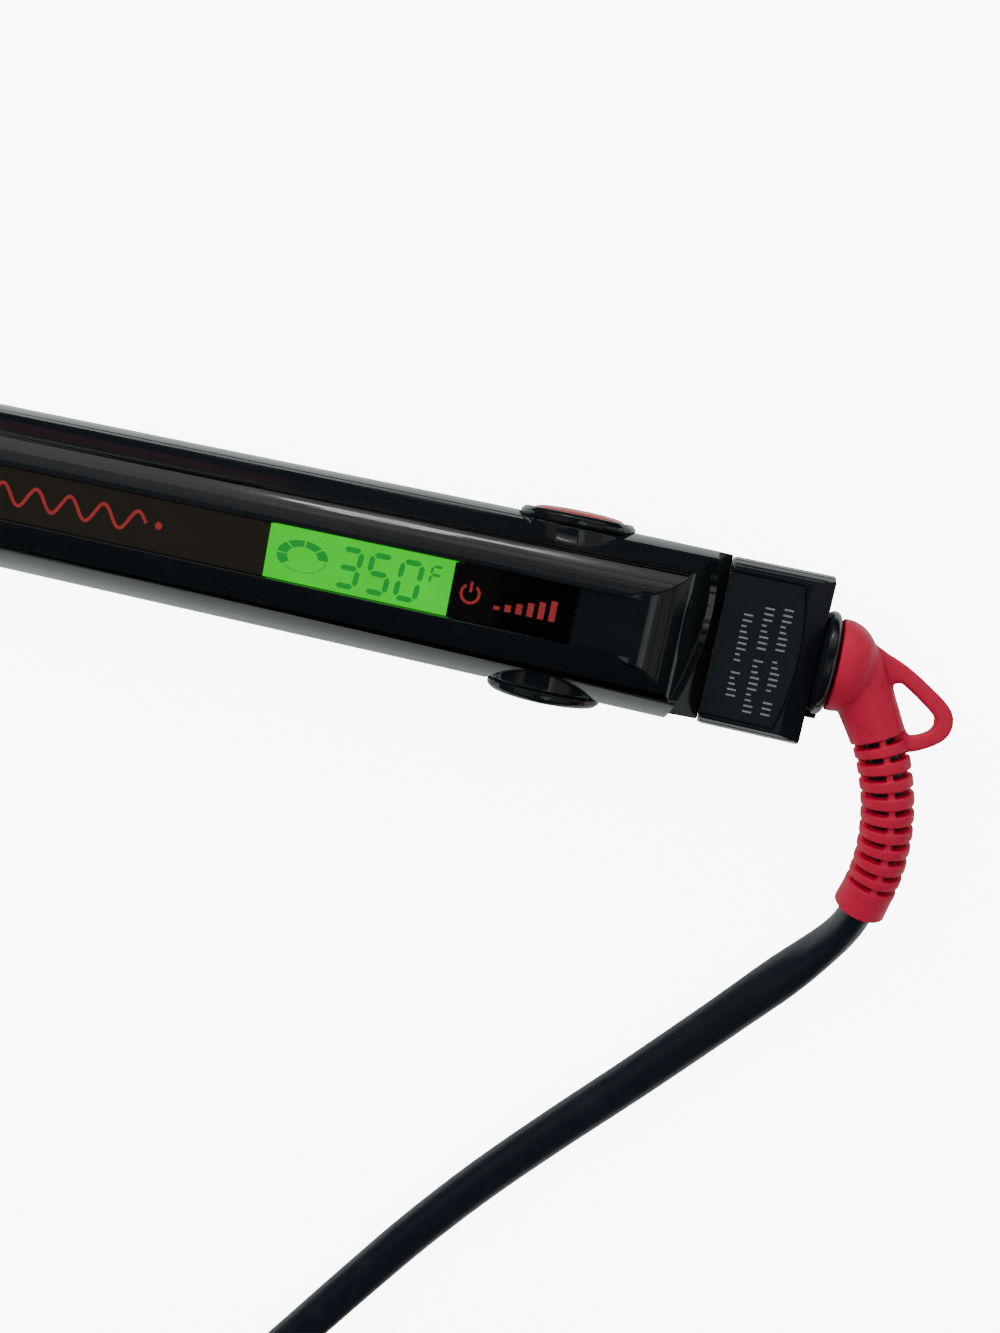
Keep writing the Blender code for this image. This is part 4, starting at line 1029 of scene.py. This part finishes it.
def at_boss_foot(p):
    """Whether a point lies on the line where a boss grows out of the grip."""
    return abs(p.x - HINGE_X) < BOSS_RADIUS + 0.5 and abs(p.y) < BOSS_FACE - 0.3 and abs(p.z) > 5.0


def across_hinge(radius, inner, outer, segments=64):
    """A pair of rods on the hinge's line, one on either side of the handle."""
    return both(lambda side: rod(radius, (HINGE_X, side * inner, 0), (HINGE_X, side * outer, 0),
                                 segments))


def pin_hole():
    """The pin's bore through both sides."""
    return rod(PIN_RADIUS + GAP, (HINGE_X, -FAR, 0), (HINGE_X, FAR, 0), 48)


def make_hinge():
    """Notched bezels with satin red domes, one at each end of the pin."""
    for index, side in NUMBERED_SIDES:
        depth = BEZEL_FACE - BEZEL_BACK
        profile = [(PIN_RADIUS + GAP, 0.0), (BEZEL_RADIUS - 0.5, 0.0), (BEZEL_RADIUS, 0.5),
                   (BEZEL_RADIUS, depth - 0.75), (BEZEL_RADIUS - 0.75, depth),
                   (CAP_RADIUS + 1.0, depth), (CAP_RADIUS + GAP, depth - 0.35),
                   (CAP_RADIUS + GAP, CAP_BACK - GAP - BEZEL_BACK),
                   (PIN_RADIUS + GAP, CAP_BACK - GAP - BEZEL_BACK), (PIN_RADIUS + GAP, 0.0)]
        bezel = lathe(profile, (HINGE_X, side * BEZEL_BACK, 0), (0, side, 0), 0.3, 160)
        carve(bezel, notch_ring(side, BEZEL_BACK - 1, BEZEL_FACE - 1.0))
        soften(bezel, 0.1, segments=2)
        dress(bezel, f"bezel_skin_{index}", "lower_arm", "piano_black", f"hinge_bezel_{index}")
        rise = CAP_TOP - CAP_BACK
        dome = [(0.0, 0.0), (CAP_RADIUS, 0.0), (CAP_RADIUS, 0.55)]
        dome += [(CAP_RADIUS * math.cos(math.radians(a)) ** 0.8,
                  0.55 + (rise - 0.55) * math.sin(math.radians(a))) for a in range(8, 90, 4)]
        dome += [(0.0, rise)]
        cap = lathe(dome, (HINGE_X, side * CAP_BACK, 0), (0, side, 0), 0.25, 320)
        dress(cap, f"cap_skin_{index}", "lower_arm", "satin_red", f"hinge_cap_{index}")


# ---------------------------------------------------------------- handle shells

def wedge_height(x):
    """Height of the parting face, which opens behind the hinge."""
    return HALF_GAP + max(0.0, x - HINGE_X) * math.tan(math.radians(WEDGE_DEGREES))


def parting_cutter(side):
    """Everything on the far side of the parting face."""
    tail = GRIP_REAR + 20
    outline = ((GRIP_FRONT - 10, -FAR * side), (GRIP_FRONT - 10, HALF_GAP * side),
               (HINGE_X, HALF_GAP * side), (tail, wedge_height(tail) * side), (tail, -FAR * side))
    return prism(outline, -FAR, FAR)


def lower_shell():
    """The lower half of the grip, with its ears, cavity and screw holes."""
    shell = axial(GRIP_RADIUS, GRIP_FRONT, GRIP_REAR, GRIP_STEPS)
    unite(shell, *bosses())
    carve(shell,
          parting_cutter(-1),
          *across_hinge(BEZEL_RADIUS + GAP, BOSS_FACE, FAR),
          box((GRIP_FRONT - 5, -FAR, -FAR), (GRIP_REAR + 5, FAR, -AXIS_HEIGHT)),
          axial(CAVITY_RADIUS, CAVITY_FRONT, CAVITY_REAR, 160),
          box((CAVITY_REAR - 2, -7.4, -8.2), (GRIP_REAR + 5, 7.4, -5.0)),
          box((GRIP_FRONT - 2, -SOCKET_HALF_WIDTH, -9.0), (CAVITY_FRONT + 1, SOCKET_HALF_WIDTH, FAR)))
    unite(shell, *across_hinge(EAR_RADIUS, EAR_INNER, EAR_OUTER))
    carve(shell, pin_hole())
    for x in HANDLE_SCREWS:
        carve(shell, upright(SCREW_HOLE_RADIUS, x, 0, -FAR, -5, 40),
              upright(SCREW_SINK_RADIUS, x, 0, -FAR, SCREW_SINK_TOP, 48))

    def outer_edge(p):
        return not at_boss_foot(p) and (math.hypot(p.y, p.z) > 15.2 or p.x > 80)

    soften(shell, LOWER_EDGE, outer_edge, angle=15)
    return dress(shell, "lower_shell_skin", "lower_arm", "piano_black", "lower_handle_shell")


def tail_arc_cutter():
    """Trims the upper shell's lip to an arc that bows towards the cord."""
    tip, middle = TAIL_ARC_TIP
    centre = tip - TAIL_ARC_RADIUS
    angles = [math.radians(angle / 2) for angle in range(-56, 57, 2)]
    arc = [(centre + TAIL_ARC_RADIUS * math.cos(a), middle + TAIL_ARC_RADIUS * math.sin(a))
           for a in angles]
    return prism(arc + [(GRIP_REAR + 10, arc[-1][1]), (GRIP_REAR + 10, arc[0][1])], -FAR, FAR, "Z")


def lip_ledge():
    """A narrow, almost level rim that follows the lip's arc and ends the ramp."""
    tip, middle = TAIL_ARC_TIP
    curve = smooth_path([(x, 0, z) for x, z in RAMP], 0.1)
    bm = bmesh.new()
    rings = []
    for step in range(61):
        y = -15.0 + step * 0.52
        rear = tip - TAIL_ARC_RADIUS + math.sqrt(TAIL_ARC_RADIUS ** 2 - (y - middle) ** 2)
        front = rear - LEDGE_WIDTH
        top, low = (min(curve, key=lambda p: abs(p.x - x)).z for x in (front, rear))
        corners = ((front - 0.3, top + 0.14), (rear, top - 0.1), (rear, low - 0.4),
                   (front - 0.3, top - 0.6))
        rings.append([bm.verts.new(at(x, y, z)) for x, z in corners])
    trim = axial(GRIP_RADIUS - 0.02, 70, GRIP_REAR, GRIP_STEPS)
    return combine(skinned(bm, rings), "INTERSECT", [trim])


def upper_shell():
    """The upper half of the grip, with the strip's channel, the ramp and the lip."""
    shell = axial(GRIP_RADIUS, GRIP_FRONT, GRIP_REAR, GRIP_STEPS)
    unite(shell, *bosses())
    curve = [(point.x, point.z) for point in smooth_path([(x, 0, z) for x, z in RAMP], 0.45)]
    ramp = [(RAMP_START - 3, STRIP_HEIGHT + 0.5)] + curve
    ramp += [(GRIP_REAR + 5, 1.8), (GRIP_REAR + 5, FAR), (RAMP_START - 3, FAR)]
    hollow = ((68.0, -5.0), (68.0, 12.2), (76.6, 10.0), (79.2, 6.4), (79.2, -5.0))
    wide = STRIP_HALF_WIDTH
    carve(shell,
          parting_cutter(1),
          *across_hinge(BEZEL_RADIUS + GAP, BOSS_FACE, FAR),
          prism(ramp, -FAR, FAR),
          tail_arc_cutter(),
          box((STRIP_FRONT, -wide, STRIP_HEIGHT), (RAMP_START, wide, FAR)),
          box((LENS_FRONT - GAP, -wide, STRIP_HEIGHT - LENS_THICKNESS), (LENS_REAR + GAP, wide, FAR)),
          box((DISPLAY_FRONT - 1.5, -wide, 0), (DISPLAY_REAR + 1.5, wide, FAR)),
          axial(CAVITY_RADIUS, CAVITY_FRONT, CAVITY_REAR, 160),
          prism(hollow, -9.2, 9.2),
          box((GRIP_FRONT - 2, -SOCKET_HALF_WIDTH, -5), (CAVITY_FRONT + 1, SOCKET_HALF_WIDTH, 9.5)),
          *across_hinge(EAR_RADIUS + 0.35, EAR_INNER - GAP, EAR_OUTER + GAP))
    carve(shell, *[upright(KEY_HOLE_RADIUS, x, 0, 5, FAR, 48) for x in KEY_POSITIONS.values()])
    unite(shell, lip_ledge(),
          *across_hinge(KNUCKLE_RADIUS, KNUCKLE_INNER, EAR_INNER - GAP),
          *both(lambda side: box((HINGE_X - 3, side * KNUCKLE_INNER, 1.0),
                                 (HINGE_X + 3, side * 9.2, 13.4))))
    carve(shell, pin_hole())

    def outer_edge(p):
        if at_boss_foot(p) or (abs(p.y) < wide + 0.1 and p.x < RAMP_START + 0.6
                               and p.z < STRIP_HEIGHT + 0.06):
            return 0.0
        if p.x > 77.5 and p.z > 2.0:
            return 0.5 * (abs(p.y) < 12.0)
        return math.hypot(p.y, p.z) > 15.2 or (p.x > 70.5 and p.z > 2.0)

    soften(shell, UPPER_EDGE, outer_edge, segments=4, angle=15)
    return dress(shell, "upper_shell_skin", "upper_arm", "piano_black", "upper_handle_shell")


# ---------------------------------------------------------------- display strip

def flat_print(name, shapes, base, body, look, height=INK_HEIGHT):
    """Thin printed or crystal shapes: each is a list of (x, y) corners in order."""
    bm = bmesh.new()
    for shape in shapes:
        low = [bm.verts.new(at(x, y, base)) for x, y in shape]
        high = [bm.verts.new(at(x, y, base + height)) for x, y in shape]
        bm.faces.new(high)
        bm.faces.new(list(reversed(low)))
        for index in range(len(shape)):
            after = (index + 1) % len(shape)
            bm.faces.new((low[index], low[after], high[after], high[index]))
    return dress(from_bmesh("tool", bm), name, body, look)


def arc_band(x, y, inner, outer, start, end, squeeze=1.0, steps=12):
    """A band of a ring between two angles in degrees, squeezed along Y."""
    angles = [math.radians(start + (end - start) * step / steps) for step in range(steps + 1)]
    rim = [(x + outer * math.cos(a), y + outer * math.sin(a) * squeeze) for a in angles]
    core = [(x + inner * math.cos(a), y + inner * math.sin(a) * squeeze) for a in angles]
    return rim + core[::-1]


def slab(x, y, width, height):
    """A rectangle's corners from its lower left one."""
    return [(x, y), (x + width, y), (x + width, y + height), (x, y + height)]


def power_sign(x, y, inner, outer, stroke, low, high, steps):
    """A ring that is open at its top, with a stroke through the opening."""
    return [arc_band(x, y, inner, outer, 125, 415, steps=steps),
            slab(x - stroke / 2, low, stroke, high - low)]


def seven_segment(lit, x, y, width, height, stroke, slant=0.08):
    """The lit bars of a seven-segment figure whose middle is at (x, y)."""
    half, rise = width / 2, height / 2
    nib = stroke / 2
    space = stroke * 0.22
    bars = {
        "top": ((-half, rise), (half, rise)), "middle": ((-half, 0), (half, 0)),
        "bottom": ((-half, -rise), (half, -rise)),
        "upper left": ((-half, 0), (-half, rise)), "upper right": ((half, 0), (half, rise)),
        "lower left": ((-half, -rise), (-half, 0)), "lower right": ((half, -rise), (half, 0)),
    }
    shapes = []
    for bar in lit:
        first, last = (Vector(end) for end in bars[bar])
        along = (last - first).normalized()
        side = Vector((-along.y, along.x)) * nib
        first, last = first + along * space, last - along * space
        corners = (first, first + along * nib + side, last - along * nib + side, last,
                   last - along * nib - side, first + along * nib - side)
        shapes.append([(x + p.x + p.y * slant, y + p.y) for p in corners])
    return shapes


FIGURES = (
    (("top", "middle", "bottom", "upper right", "lower right"), 14.4),
    (("top", "middle", "bottom", "upper left", "lower right"), 20.4),
    (("top", "bottom", "upper left", "upper right", "lower left", "lower right"), 26.4),
)
UNIT_LETTER = (("top", "middle", "upper left", "lower left"), 31.4, 1.9, 2.0, 3.2, 0.55)
FIGURE_Y = -0.2
FIGURE_WIDTH = 3.8
FIGURE_HEIGHT = 7.0
FIGURE_STROKE = 1.05
GAUGE_X = 5.0
GAUGE_RADIUS = 5.2
GAUGE_SQUEEZE = 0.6


def make_display():
    """The smoked strip, the lit panel in its window and the figures on the panel."""
    wide = STRIP_HALF_WIDTH - 0.25
    top = STRIP_HEIGHT
    # The lens in front of the panel carries a painted reflection (brown); the part behind it carries
    # painted shade (a darker copy).
    for name, front, rear, look, nodes in (
            ("smoked_lens", LENS_FRONT, DISPLAY_FRONT, "smoked_strip_painted_light", ("display_lens",)),
            ("smoked_lens_rear", DISPLAY_REAR, LENS_REAR, "painted_shade_strip", ())):
        lens = box((front, -wide, top - LENS_THICKNESS + 0.1), (rear, wide, top))
        soften(lens, 0.1, segments=3)
        dress(lens, name, "upper_arm", look, *nodes)
    panel = box((DISPLAY_FRONT + 0.04, -wide, top - 2.8), (DISPLAY_REAR - 0.04, wide, top - 0.03))
    soften(panel, 0.06, segments=2)
    dress(panel, "lit_panel_skin", "upper_arm", "lit_panel", "display_panel")
    ink_base = top - 0.035
    figures = [part for lit, x in FIGURES
               for part in seven_segment(lit, x, FIGURE_Y, FIGURE_WIDTH, FIGURE_HEIGHT, FIGURE_STROKE)]
    figures += seven_segment(*UNIT_LETTER)
    flat_print("display_figures", figures, ink_base, "upper_arm", "crystal_dark")
    for name, inner, first, last, look in (("display_gauge", 3.1, 0, 225, "crystal_dark"),
                                           ("display_gauge_rest", 4.6, 225, 360, "crystal_pale")):
        ring = [arc_band(GAUGE_X, 0.0, inner, GAUGE_RADIUS, start, start + 40, GAUGE_SQUEEZE)
                for start in range(first, last, 45)]
        flat_print(name, ring, ink_base, "upper_arm", look)


WAVE_ENDS = (-60.5, -27.5)
DOT_X = -24.8
DOT_RADIUS = 0.75
HEAT_BARS = 6
HEAT_BARS_START = 43.2
HEAT_BAR_PITCH = 2.1


def wave_band(start, end, periods, height, stroke, steps=96):
    """A plain wavy line along the strip as a row of small four-sided pieces."""
    upper, lower = [], []
    for step in range(steps + 1):
        share = step / steps
        x = start + (end - start) * share
        phase = 2 * math.pi * periods * share
        y = height * math.sin(phase)
        slope = height * math.cos(phase) * 2 * math.pi * periods / (end - start)
        nx, ny = -slope / math.hypot(slope, 1), 1 / math.hypot(slope, 1)
        upper.append((x + nx * stroke / 2, y + ny * stroke / 2))
        lower.append((x - nx * stroke / 2, y - ny * stroke / 2))
    return [[lower[index], lower[index + 1], upper[index + 1], upper[index]]
            for index in range(steps)]


def make_prints():
    """Plain red marks on the strip: a wave on the left, a power sign and heat bars on the right."""
    height = STRIP_HEIGHT - 0.005
    marks = wave_band(*WAVE_ENDS, periods=4.5, height=2.0, stroke=0.7)
    marks += [arc_band(DOT_X, 0.0, 0.01, DOT_RADIUS, 0, 360, steps=20)]
    flat_print("strip_wave", marks, height, "upper_arm", "red_ink")
    signs = power_sign(38.4, -0.1, 1.45, 2.0, 0.54, 0.2, 2.2, 28)
    signs += [slab(HEAT_BARS_START + step * HEAT_BAR_PITCH, -2.0, 1.2, 0.7 + 0.62 * step)
              for step in range(HEAT_BARS)]
    flat_print("strip_signs", signs, height, "upper_arm", "red_ink")


def make_keys():
    """Three keys with dished tops that carry a raised sign each."""
    signs = {
        "power": power_sign(0, 0, 0.75, 1.05, 0.28, 0.2, 1.2, 20),
        "minus": [slab(-0.9, -0.16, 1.8, 0.32)],
        "plus": [slab(-0.9, -0.16, 1.8, 0.32), slab(-0.16, 0.17, 0.32, 0.73),
                 slab(-0.16, -0.9, 0.32, 0.73)],
    }
    for name, x in KEY_POSITIONS.items():
        profile = [(0.0, 12.7), (3.1, 12.7), (3.1, 13.3), (2.5, 13.3), (2.5, 16.3), (1.9, 16.3),
                   (1.2, 16.18), (0.0, 16.12)]
        cap = lathe(profile, (x, 0, 0), (0, 0, 1), 0.2, 64)
        dress(cap, f"{name}_key_skin", f"{name}_key", "satin_red", f"{name}_key")
        shapes = [[(x + px, py) for px, py in shape] for shape in signs[name]]
        flat_print(f"{name}_key_sign", shapes, 16.1, f"{name}_key", "pale_ink", 0.13)


# ---------------------------------------------------------------- tail block

def block_half(name, side, node):
    """One half of the end block, with its bores, grooves and rails or label seat."""
    half = axial(BLOCK_RADIUS, BLOCK_FRONT, BLOCK_REAR, 192)
    slope = ((BLOCK_REAR - 4.3, (BLOCK_FLAT + 0.1) * side), (BLOCK_REAR + 0.4, 5.6 * side),
             (BLOCK_REAR + 3, 5.6 * side), (BLOCK_REAR + 3, 12 * side),
             (BLOCK_REAR - 4.3, 12 * side))
    carve(half,
          box((0, -FAR, -FAR * side), (200, FAR, HALF_GAP * side)),
          box((0, -FAR, BLOCK_FLAT * side), (200, FAR, FAR * side)),
          prism(slope, -FAR, FAR),
          axial(BLOCK_BORE_RADIUS, 88.0, 101.0, 64),
          axial(BLOCK_MOUTH_RADIUS, 100.0, BLOCK_REAR + 5, 64))
    grooves = []
    for height in BLOCK_GROOVES:
        y = math.sqrt(BLOCK_RADIUS ** 2 - height ** 2)
        grooves += both(lambda edge: box(
            (BLOCK_FRONT - 1, edge * (y - 0.3), side * (height - 0.17)),
            (BLOCK_REAR - 1.6, edge * (y + 3), side * (height + 0.17))))
    carve(half, *grooves)
    if side > 0:
        carve(half, prism(label_outline(0.0), BLOCK_FLAT - LABEL_DEPTH, FAR, "Z"))
    else:
        rail_front = CAVITY_REAR + 3
        unite(half, *both(lambda edge: box((rail_front, edge * 4.0, -7.9),
                                           (BLOCK_FRONT + 1, edge * 7.1, -5.3))))
        carve(half, box((BLOCK_FRONT - 1, -3.3, -7.8), (90.0, 3.3, -5.9)))
        x, y = BLOCK_SCREW
        for edge in (1, -1):
            carve(half, upright(BLOCK_SCREW_HOLE_RADIUS, x, y * edge, -FAR, 2, 32),
                  upright(BLOCK_SCREW_SINK_RADIUS, x, y * edge, -FAR, -6.2, 40))
    soften(half, 0.22, segments=3)
    return dress(half, name, "lower_arm", "block_black", node)


def label_outline(inset):
    """The label's outline: straight sides and a rear edge that bows towards the cord."""
    wide = LABEL_HALF_WIDTH - inset
    rear = LABEL_REAR - inset
    centre = rear - LABEL_BOW_RADIUS
    reach = math.asin(wide / LABEL_BOW_RADIUS)
    bow = [(centre + LABEL_BOW_RADIUS * math.cos(reach * step / 12),
            LABEL_BOW_RADIUS * math.sin(reach * step / 12)) for step in range(-12, 13)]
    return [(LABEL_FRONT + inset, bow[-1][1]), (LABEL_FRONT + inset, bow[0][1])] + bow


def make_block():
    """The end block, its seal, label and swivel collar."""
    block_half("block_front_skin", 1, "end_block_front")
    block_half("block_back_skin", -1, "end_block_back")
    seal = axial(BLOCK_RADIUS - 0.15, GRIP_REAR + 0.02, BLOCK_FRONT - 0.02, 192)
    carve(seal, box((0, -FAR, BLOCK_FLAT - 0.2), (200, FAR, FAR)),
          box((0, -FAR, -FAR), (200, FAR, -BLOCK_FLAT + 0.2)))
    dress(seal, "tail_seal", "lower_arm", "block_black")
    film = prism(label_outline(0.25), BLOCK_FLAT - LABEL_DEPTH - 0.02, BLOCK_FLAT - 0.16, "Z")
    soften(film, 0.1, segments=2)
    dress(film, "label_film", "lower_arm", "label_film")
    dashes = []
    for x, y, groups in LABEL_ROWS:
        for group in groups:
            for mark in range(group):
                tall = DASH_HEIGHTS[(mark * 2 + group) % len(DASH_HEIGHTS)]
                dashes.append(slab(x, y, tall, DASH_WIDTH))
                y += DASH_PITCH
            y += DASH_GROUP_GAP
    flat_print("label_dashes", dashes, BLOCK_FLAT - 0.165, "lower_arm", "pale_ink")
    bore = BLOCK_MOUTH_RADIUS
    profile = [(bore, 0.0), (7.6, 0.0), (COLLAR_RADIUS - 0.9, 0.3), (COLLAR_RADIUS - 0.25, 0.8),
               (COLLAR_RADIUS, 1.5), (COLLAR_RADIUS - 0.2, 2.3), (COLLAR_RADIUS - 0.9, 2.9),
               (7.6, 3.0), (bore, 3.0), (bore, 0.0)]
    collar = lathe(profile, (BLOCK_REAR + 0.04, 0, 0), (1, 0, 0), 0.5, 128)
    nub = rod(1.25, (BLOCK_REAR + 0.3, -9.7, 0), (BLOCK_REAR + 2.4, -9.7, 0), segments=32)
    soften(nub, 0.3)
    unite(collar, nub)
    dress(collar, "collar_skin", "lower_arm", "piano_black", "swivel_collar")


# ---------------------------------------------------------------- barrel and clamp

def make_barrel():
    """The heated tube, its moulded tip and the collar that joins it to the grip."""
    length = BARREL_COLLAR_FRONT - GAP - BARREL_FRONT
    inner = BARREL_RADIUS - BARREL_WALL
    profile = [(inner, 0.0), (BARREL_RADIUS, 0.0), (BARREL_RADIUS, length), (inner, length),
               (inner, 0.0)]
    tube = lathe(profile, (BARREL_FRONT, 0, 0), (1, 0, 0), 0.25, 192)
    dress(tube, "barrel_skin", "lower_arm", "ceramic_coat", "barrel_tube")
    nose = [(3.0, 2.5), (3.0, 0.0), (6.2, 0.0), (8.3, 0.35), (10.2, 1.4), (11.5, 3.1), (12.3, 5.4),
            (BARREL_RADIUS, 8.4), (BARREL_RADIUS, 12.6), (12.3, 12.9), (12.3, 13.6),
            (BARREL_RADIUS, 13.9), (BARREL_RADIUS, 15.7), (11.0, 15.7), (11.0, 22.0), (0.0, 22.0)]
    tip = lathe([(0.0, 2.5)] + nose, (TIP_FRONT, 0, 0), (1, 0, 0), 0.3, 160)
    dress(tip, "tip_skin", "lower_arm", "piano_black", "barrel_tip")
    collar = axial(12.2, -96.6, BARREL_COLLAR_FRONT, 160, 12.9)
    taper = axial(GRIP_RADIUS - 0.4, GRIP_FRONT - GAP, -103.0, 160, 12.75)
    carve(taper, box((-110, -FAR, -HALF_GAP), (-80, FAR, FAR)),
          box((-110, -FAR, -FAR), (-80, FAR, -AXIS_HEIGHT)))
    unite(collar, taper,
          box((-98.0, -TONGUE_HALF_WIDTH, -8.6), (CAVITY_FRONT + 4, TONGUE_HALF_WIDTH, -2.8)),
          axial(11.2, BARREL_COLLAR_FRONT + 2, BARREL_COLLAR_FRONT - 5, 120))
    soften(collar, 0.3)
    dress(collar, "barrel_collar_skin", "lower_arm", "piano_black", "barrel_collar")


def make_clamp():
    """The clamp's curved plate, rolled at its edges, with its carrier and rivets."""
    rows, columns = 96, 64
    bm = bmesh.new()

    def spot(row, column, lift):
        x = CLAMP_REAR + (CLAMP_FRONT - CLAMP_REAR) * row / rows
        share = min(max((CLAMP_FRONT + CLAMP_NOSE - x) / CLAMP_NOSE, 0.0), 1.0)
        spread = max(math.radians(CLAMP_HALF_ANGLE) * math.sqrt(1 - share ** 2), 0.02)
        angle = spread * (2 * column / columns - 1)
        radius = CLAMP_INNER_RADIUS + lift * CLAMP_THICKNESS
        return at(x, radius * math.sin(angle), radius * math.cos(angle))

    low, high = ([[bm.verts.new(spot(row, column, lift)) for column in range(columns + 1)]
                  for row in range(rows + 1)] for lift in (0.0, 1.0))
    for row in range(rows):
        near, far, near_top, far_top = low[row], low[row + 1], high[row], high[row + 1]
        for left, right in zip(range(columns), range(1, columns + 1)):
            bm.faces.new((near_top[left], near_top[right], far_top[right], far_top[left]))
            bm.faces.new((near[left], far[left], far[right], near[right]))
        for edge in (0, columns):
            bm.faces.new((near[edge], near_top[edge], far_top[edge], far[edge]))
    for row in (0, rows):
        for left, right in zip(range(columns), range(1, columns + 1)):
            bm.faces.new((low[row][left], low[row][right], high[row][right], high[row][left]))
    plate = from_bmesh("tool", bm)
    soften(plate, 0.28, angle=50.0, weld=0.005)
    dress(plate, "clamp_skin", "upper_arm", "ceramic_coat", "clamp_plate")
    carrier = axial(GRIP_RADIUS - 0.4, GRIP_FRONT - GAP, CARRIER_FRONT, 192, 15.7)
    carve(carrier,
          axial(CLAMP_INNER_RADIUS + CLAMP_THICKNESS + GAP, -96.3, -130, 160),
          box((-130, -FAR, -FAR), (GRIP_FRONT + 5, FAR, HALF_GAP)))
    unite(carrier, box((GRIP_FRONT - 2, -TONGUE_HALF_WIDTH, 2.8),
                       (CAVITY_FRONT + 4, TONGUE_HALF_WIDTH, 8.4)))
    for index, side in NUMBERED_SIDES:
        x, y = RIVET_PLACE[0], RIVET_PLACE[1] * side
        carve(carrier, upright(1.3, x, y, 5, 30, 32), upright(2.1, x, y, 14.95, 30, 40))
        head = [(0.0, 12.9), (1.0, 12.9), (1.0, 15.2), (1.8, 15.2), (1.8, 15.6), (1.3, 16.0),
                (0.0, 16.12)]
        rivet = lathe(head, (x, y, 0), (0, 0, 1), 0.15, 48)
        dress(rivet, f"rivet_skin_{index}", "upper_arm", "steel", f"clamp_rivet_{index}")
    soften(carrier, 0.25)
    dress(carrier, "carrier_skin", "upper_arm", "piano_black", "clamp_carrier")


# ---------------------------------------------------------------- what the frame keeps

def dress_frame():
    """Carried-over nodes get the finished materials of their slots and softened edges."""
    slots = {part["node"]: part["material_slot"] for part in frame["record"]["subparts"]}
    for node, obj in frame["nodes"].items():
        if obj.hide_render:
            continue
        look = MATERIALS[SLOTS[slots[node]][0]]
        if not obj.material_slots:
            obj.data.materials.append(look)
        for holder in obj.material_slots:
            holder.material = look
        edge = obj.modifiers.new("edge", "BEVEL")
        edge.width = 0.08 * MM
        edge.segments = 2
        edge.limit_method = "ANGLE"
        edge.angle_limit = math.radians(40)


make_camera()
make_studio()
LOOKS = (
    piano_black("piano_black", (0.006, 0.0075, 0.009), 0.5),
    piano_black("block_black", (0.006, 0.007, 0.010), 0.2),
    # Same lens twice: the brown tint is a painted reflection, the darker copy is painted shade.
    smoked_strip_painted_light("smoked_strip_painted_light", (0.0075, 0.006, 0.004), 0.5),
    smoked_strip_painted_light("painted_shade_strip", (0.002, 0.0013, 0.0016), 0.16),
    lit_panel(),
    crystal_mark("crystal_dark", (0.0, 0.31, 0.03)),
    crystal_mark("crystal_pale", (0.0, 0.6, 0.02)),
    ink("red_ink", (0.30, 0.012, 0.016)),
    ink("pale_ink", (0.18, 0.19, 0.21)),
    satin_red(),
    red_rubber(),
    cord_vinyl(),
    label_film(),
    ceramic_coat(),
    plain_metal("steel", (0.6, 0.6, 0.61), 0.3),
    plain_metal("brass", (0.75, 0.56, 0.24), 0.25),
    plain_metal("aluminium", (0.7, 0.71, 0.72), 0.38, (0.1, 1.0, 1.0)),
    board_mask(),
    heat_moulding(),
)
MATERIALS = {look.name: look.material for look in LOOKS}
lay_cord()
make_boot()
make_hinge()
lower_shell()
upper_shell()
make_display()
make_prints()
make_keys()
make_block()
make_barrel()
make_clamp()
dress_frame()
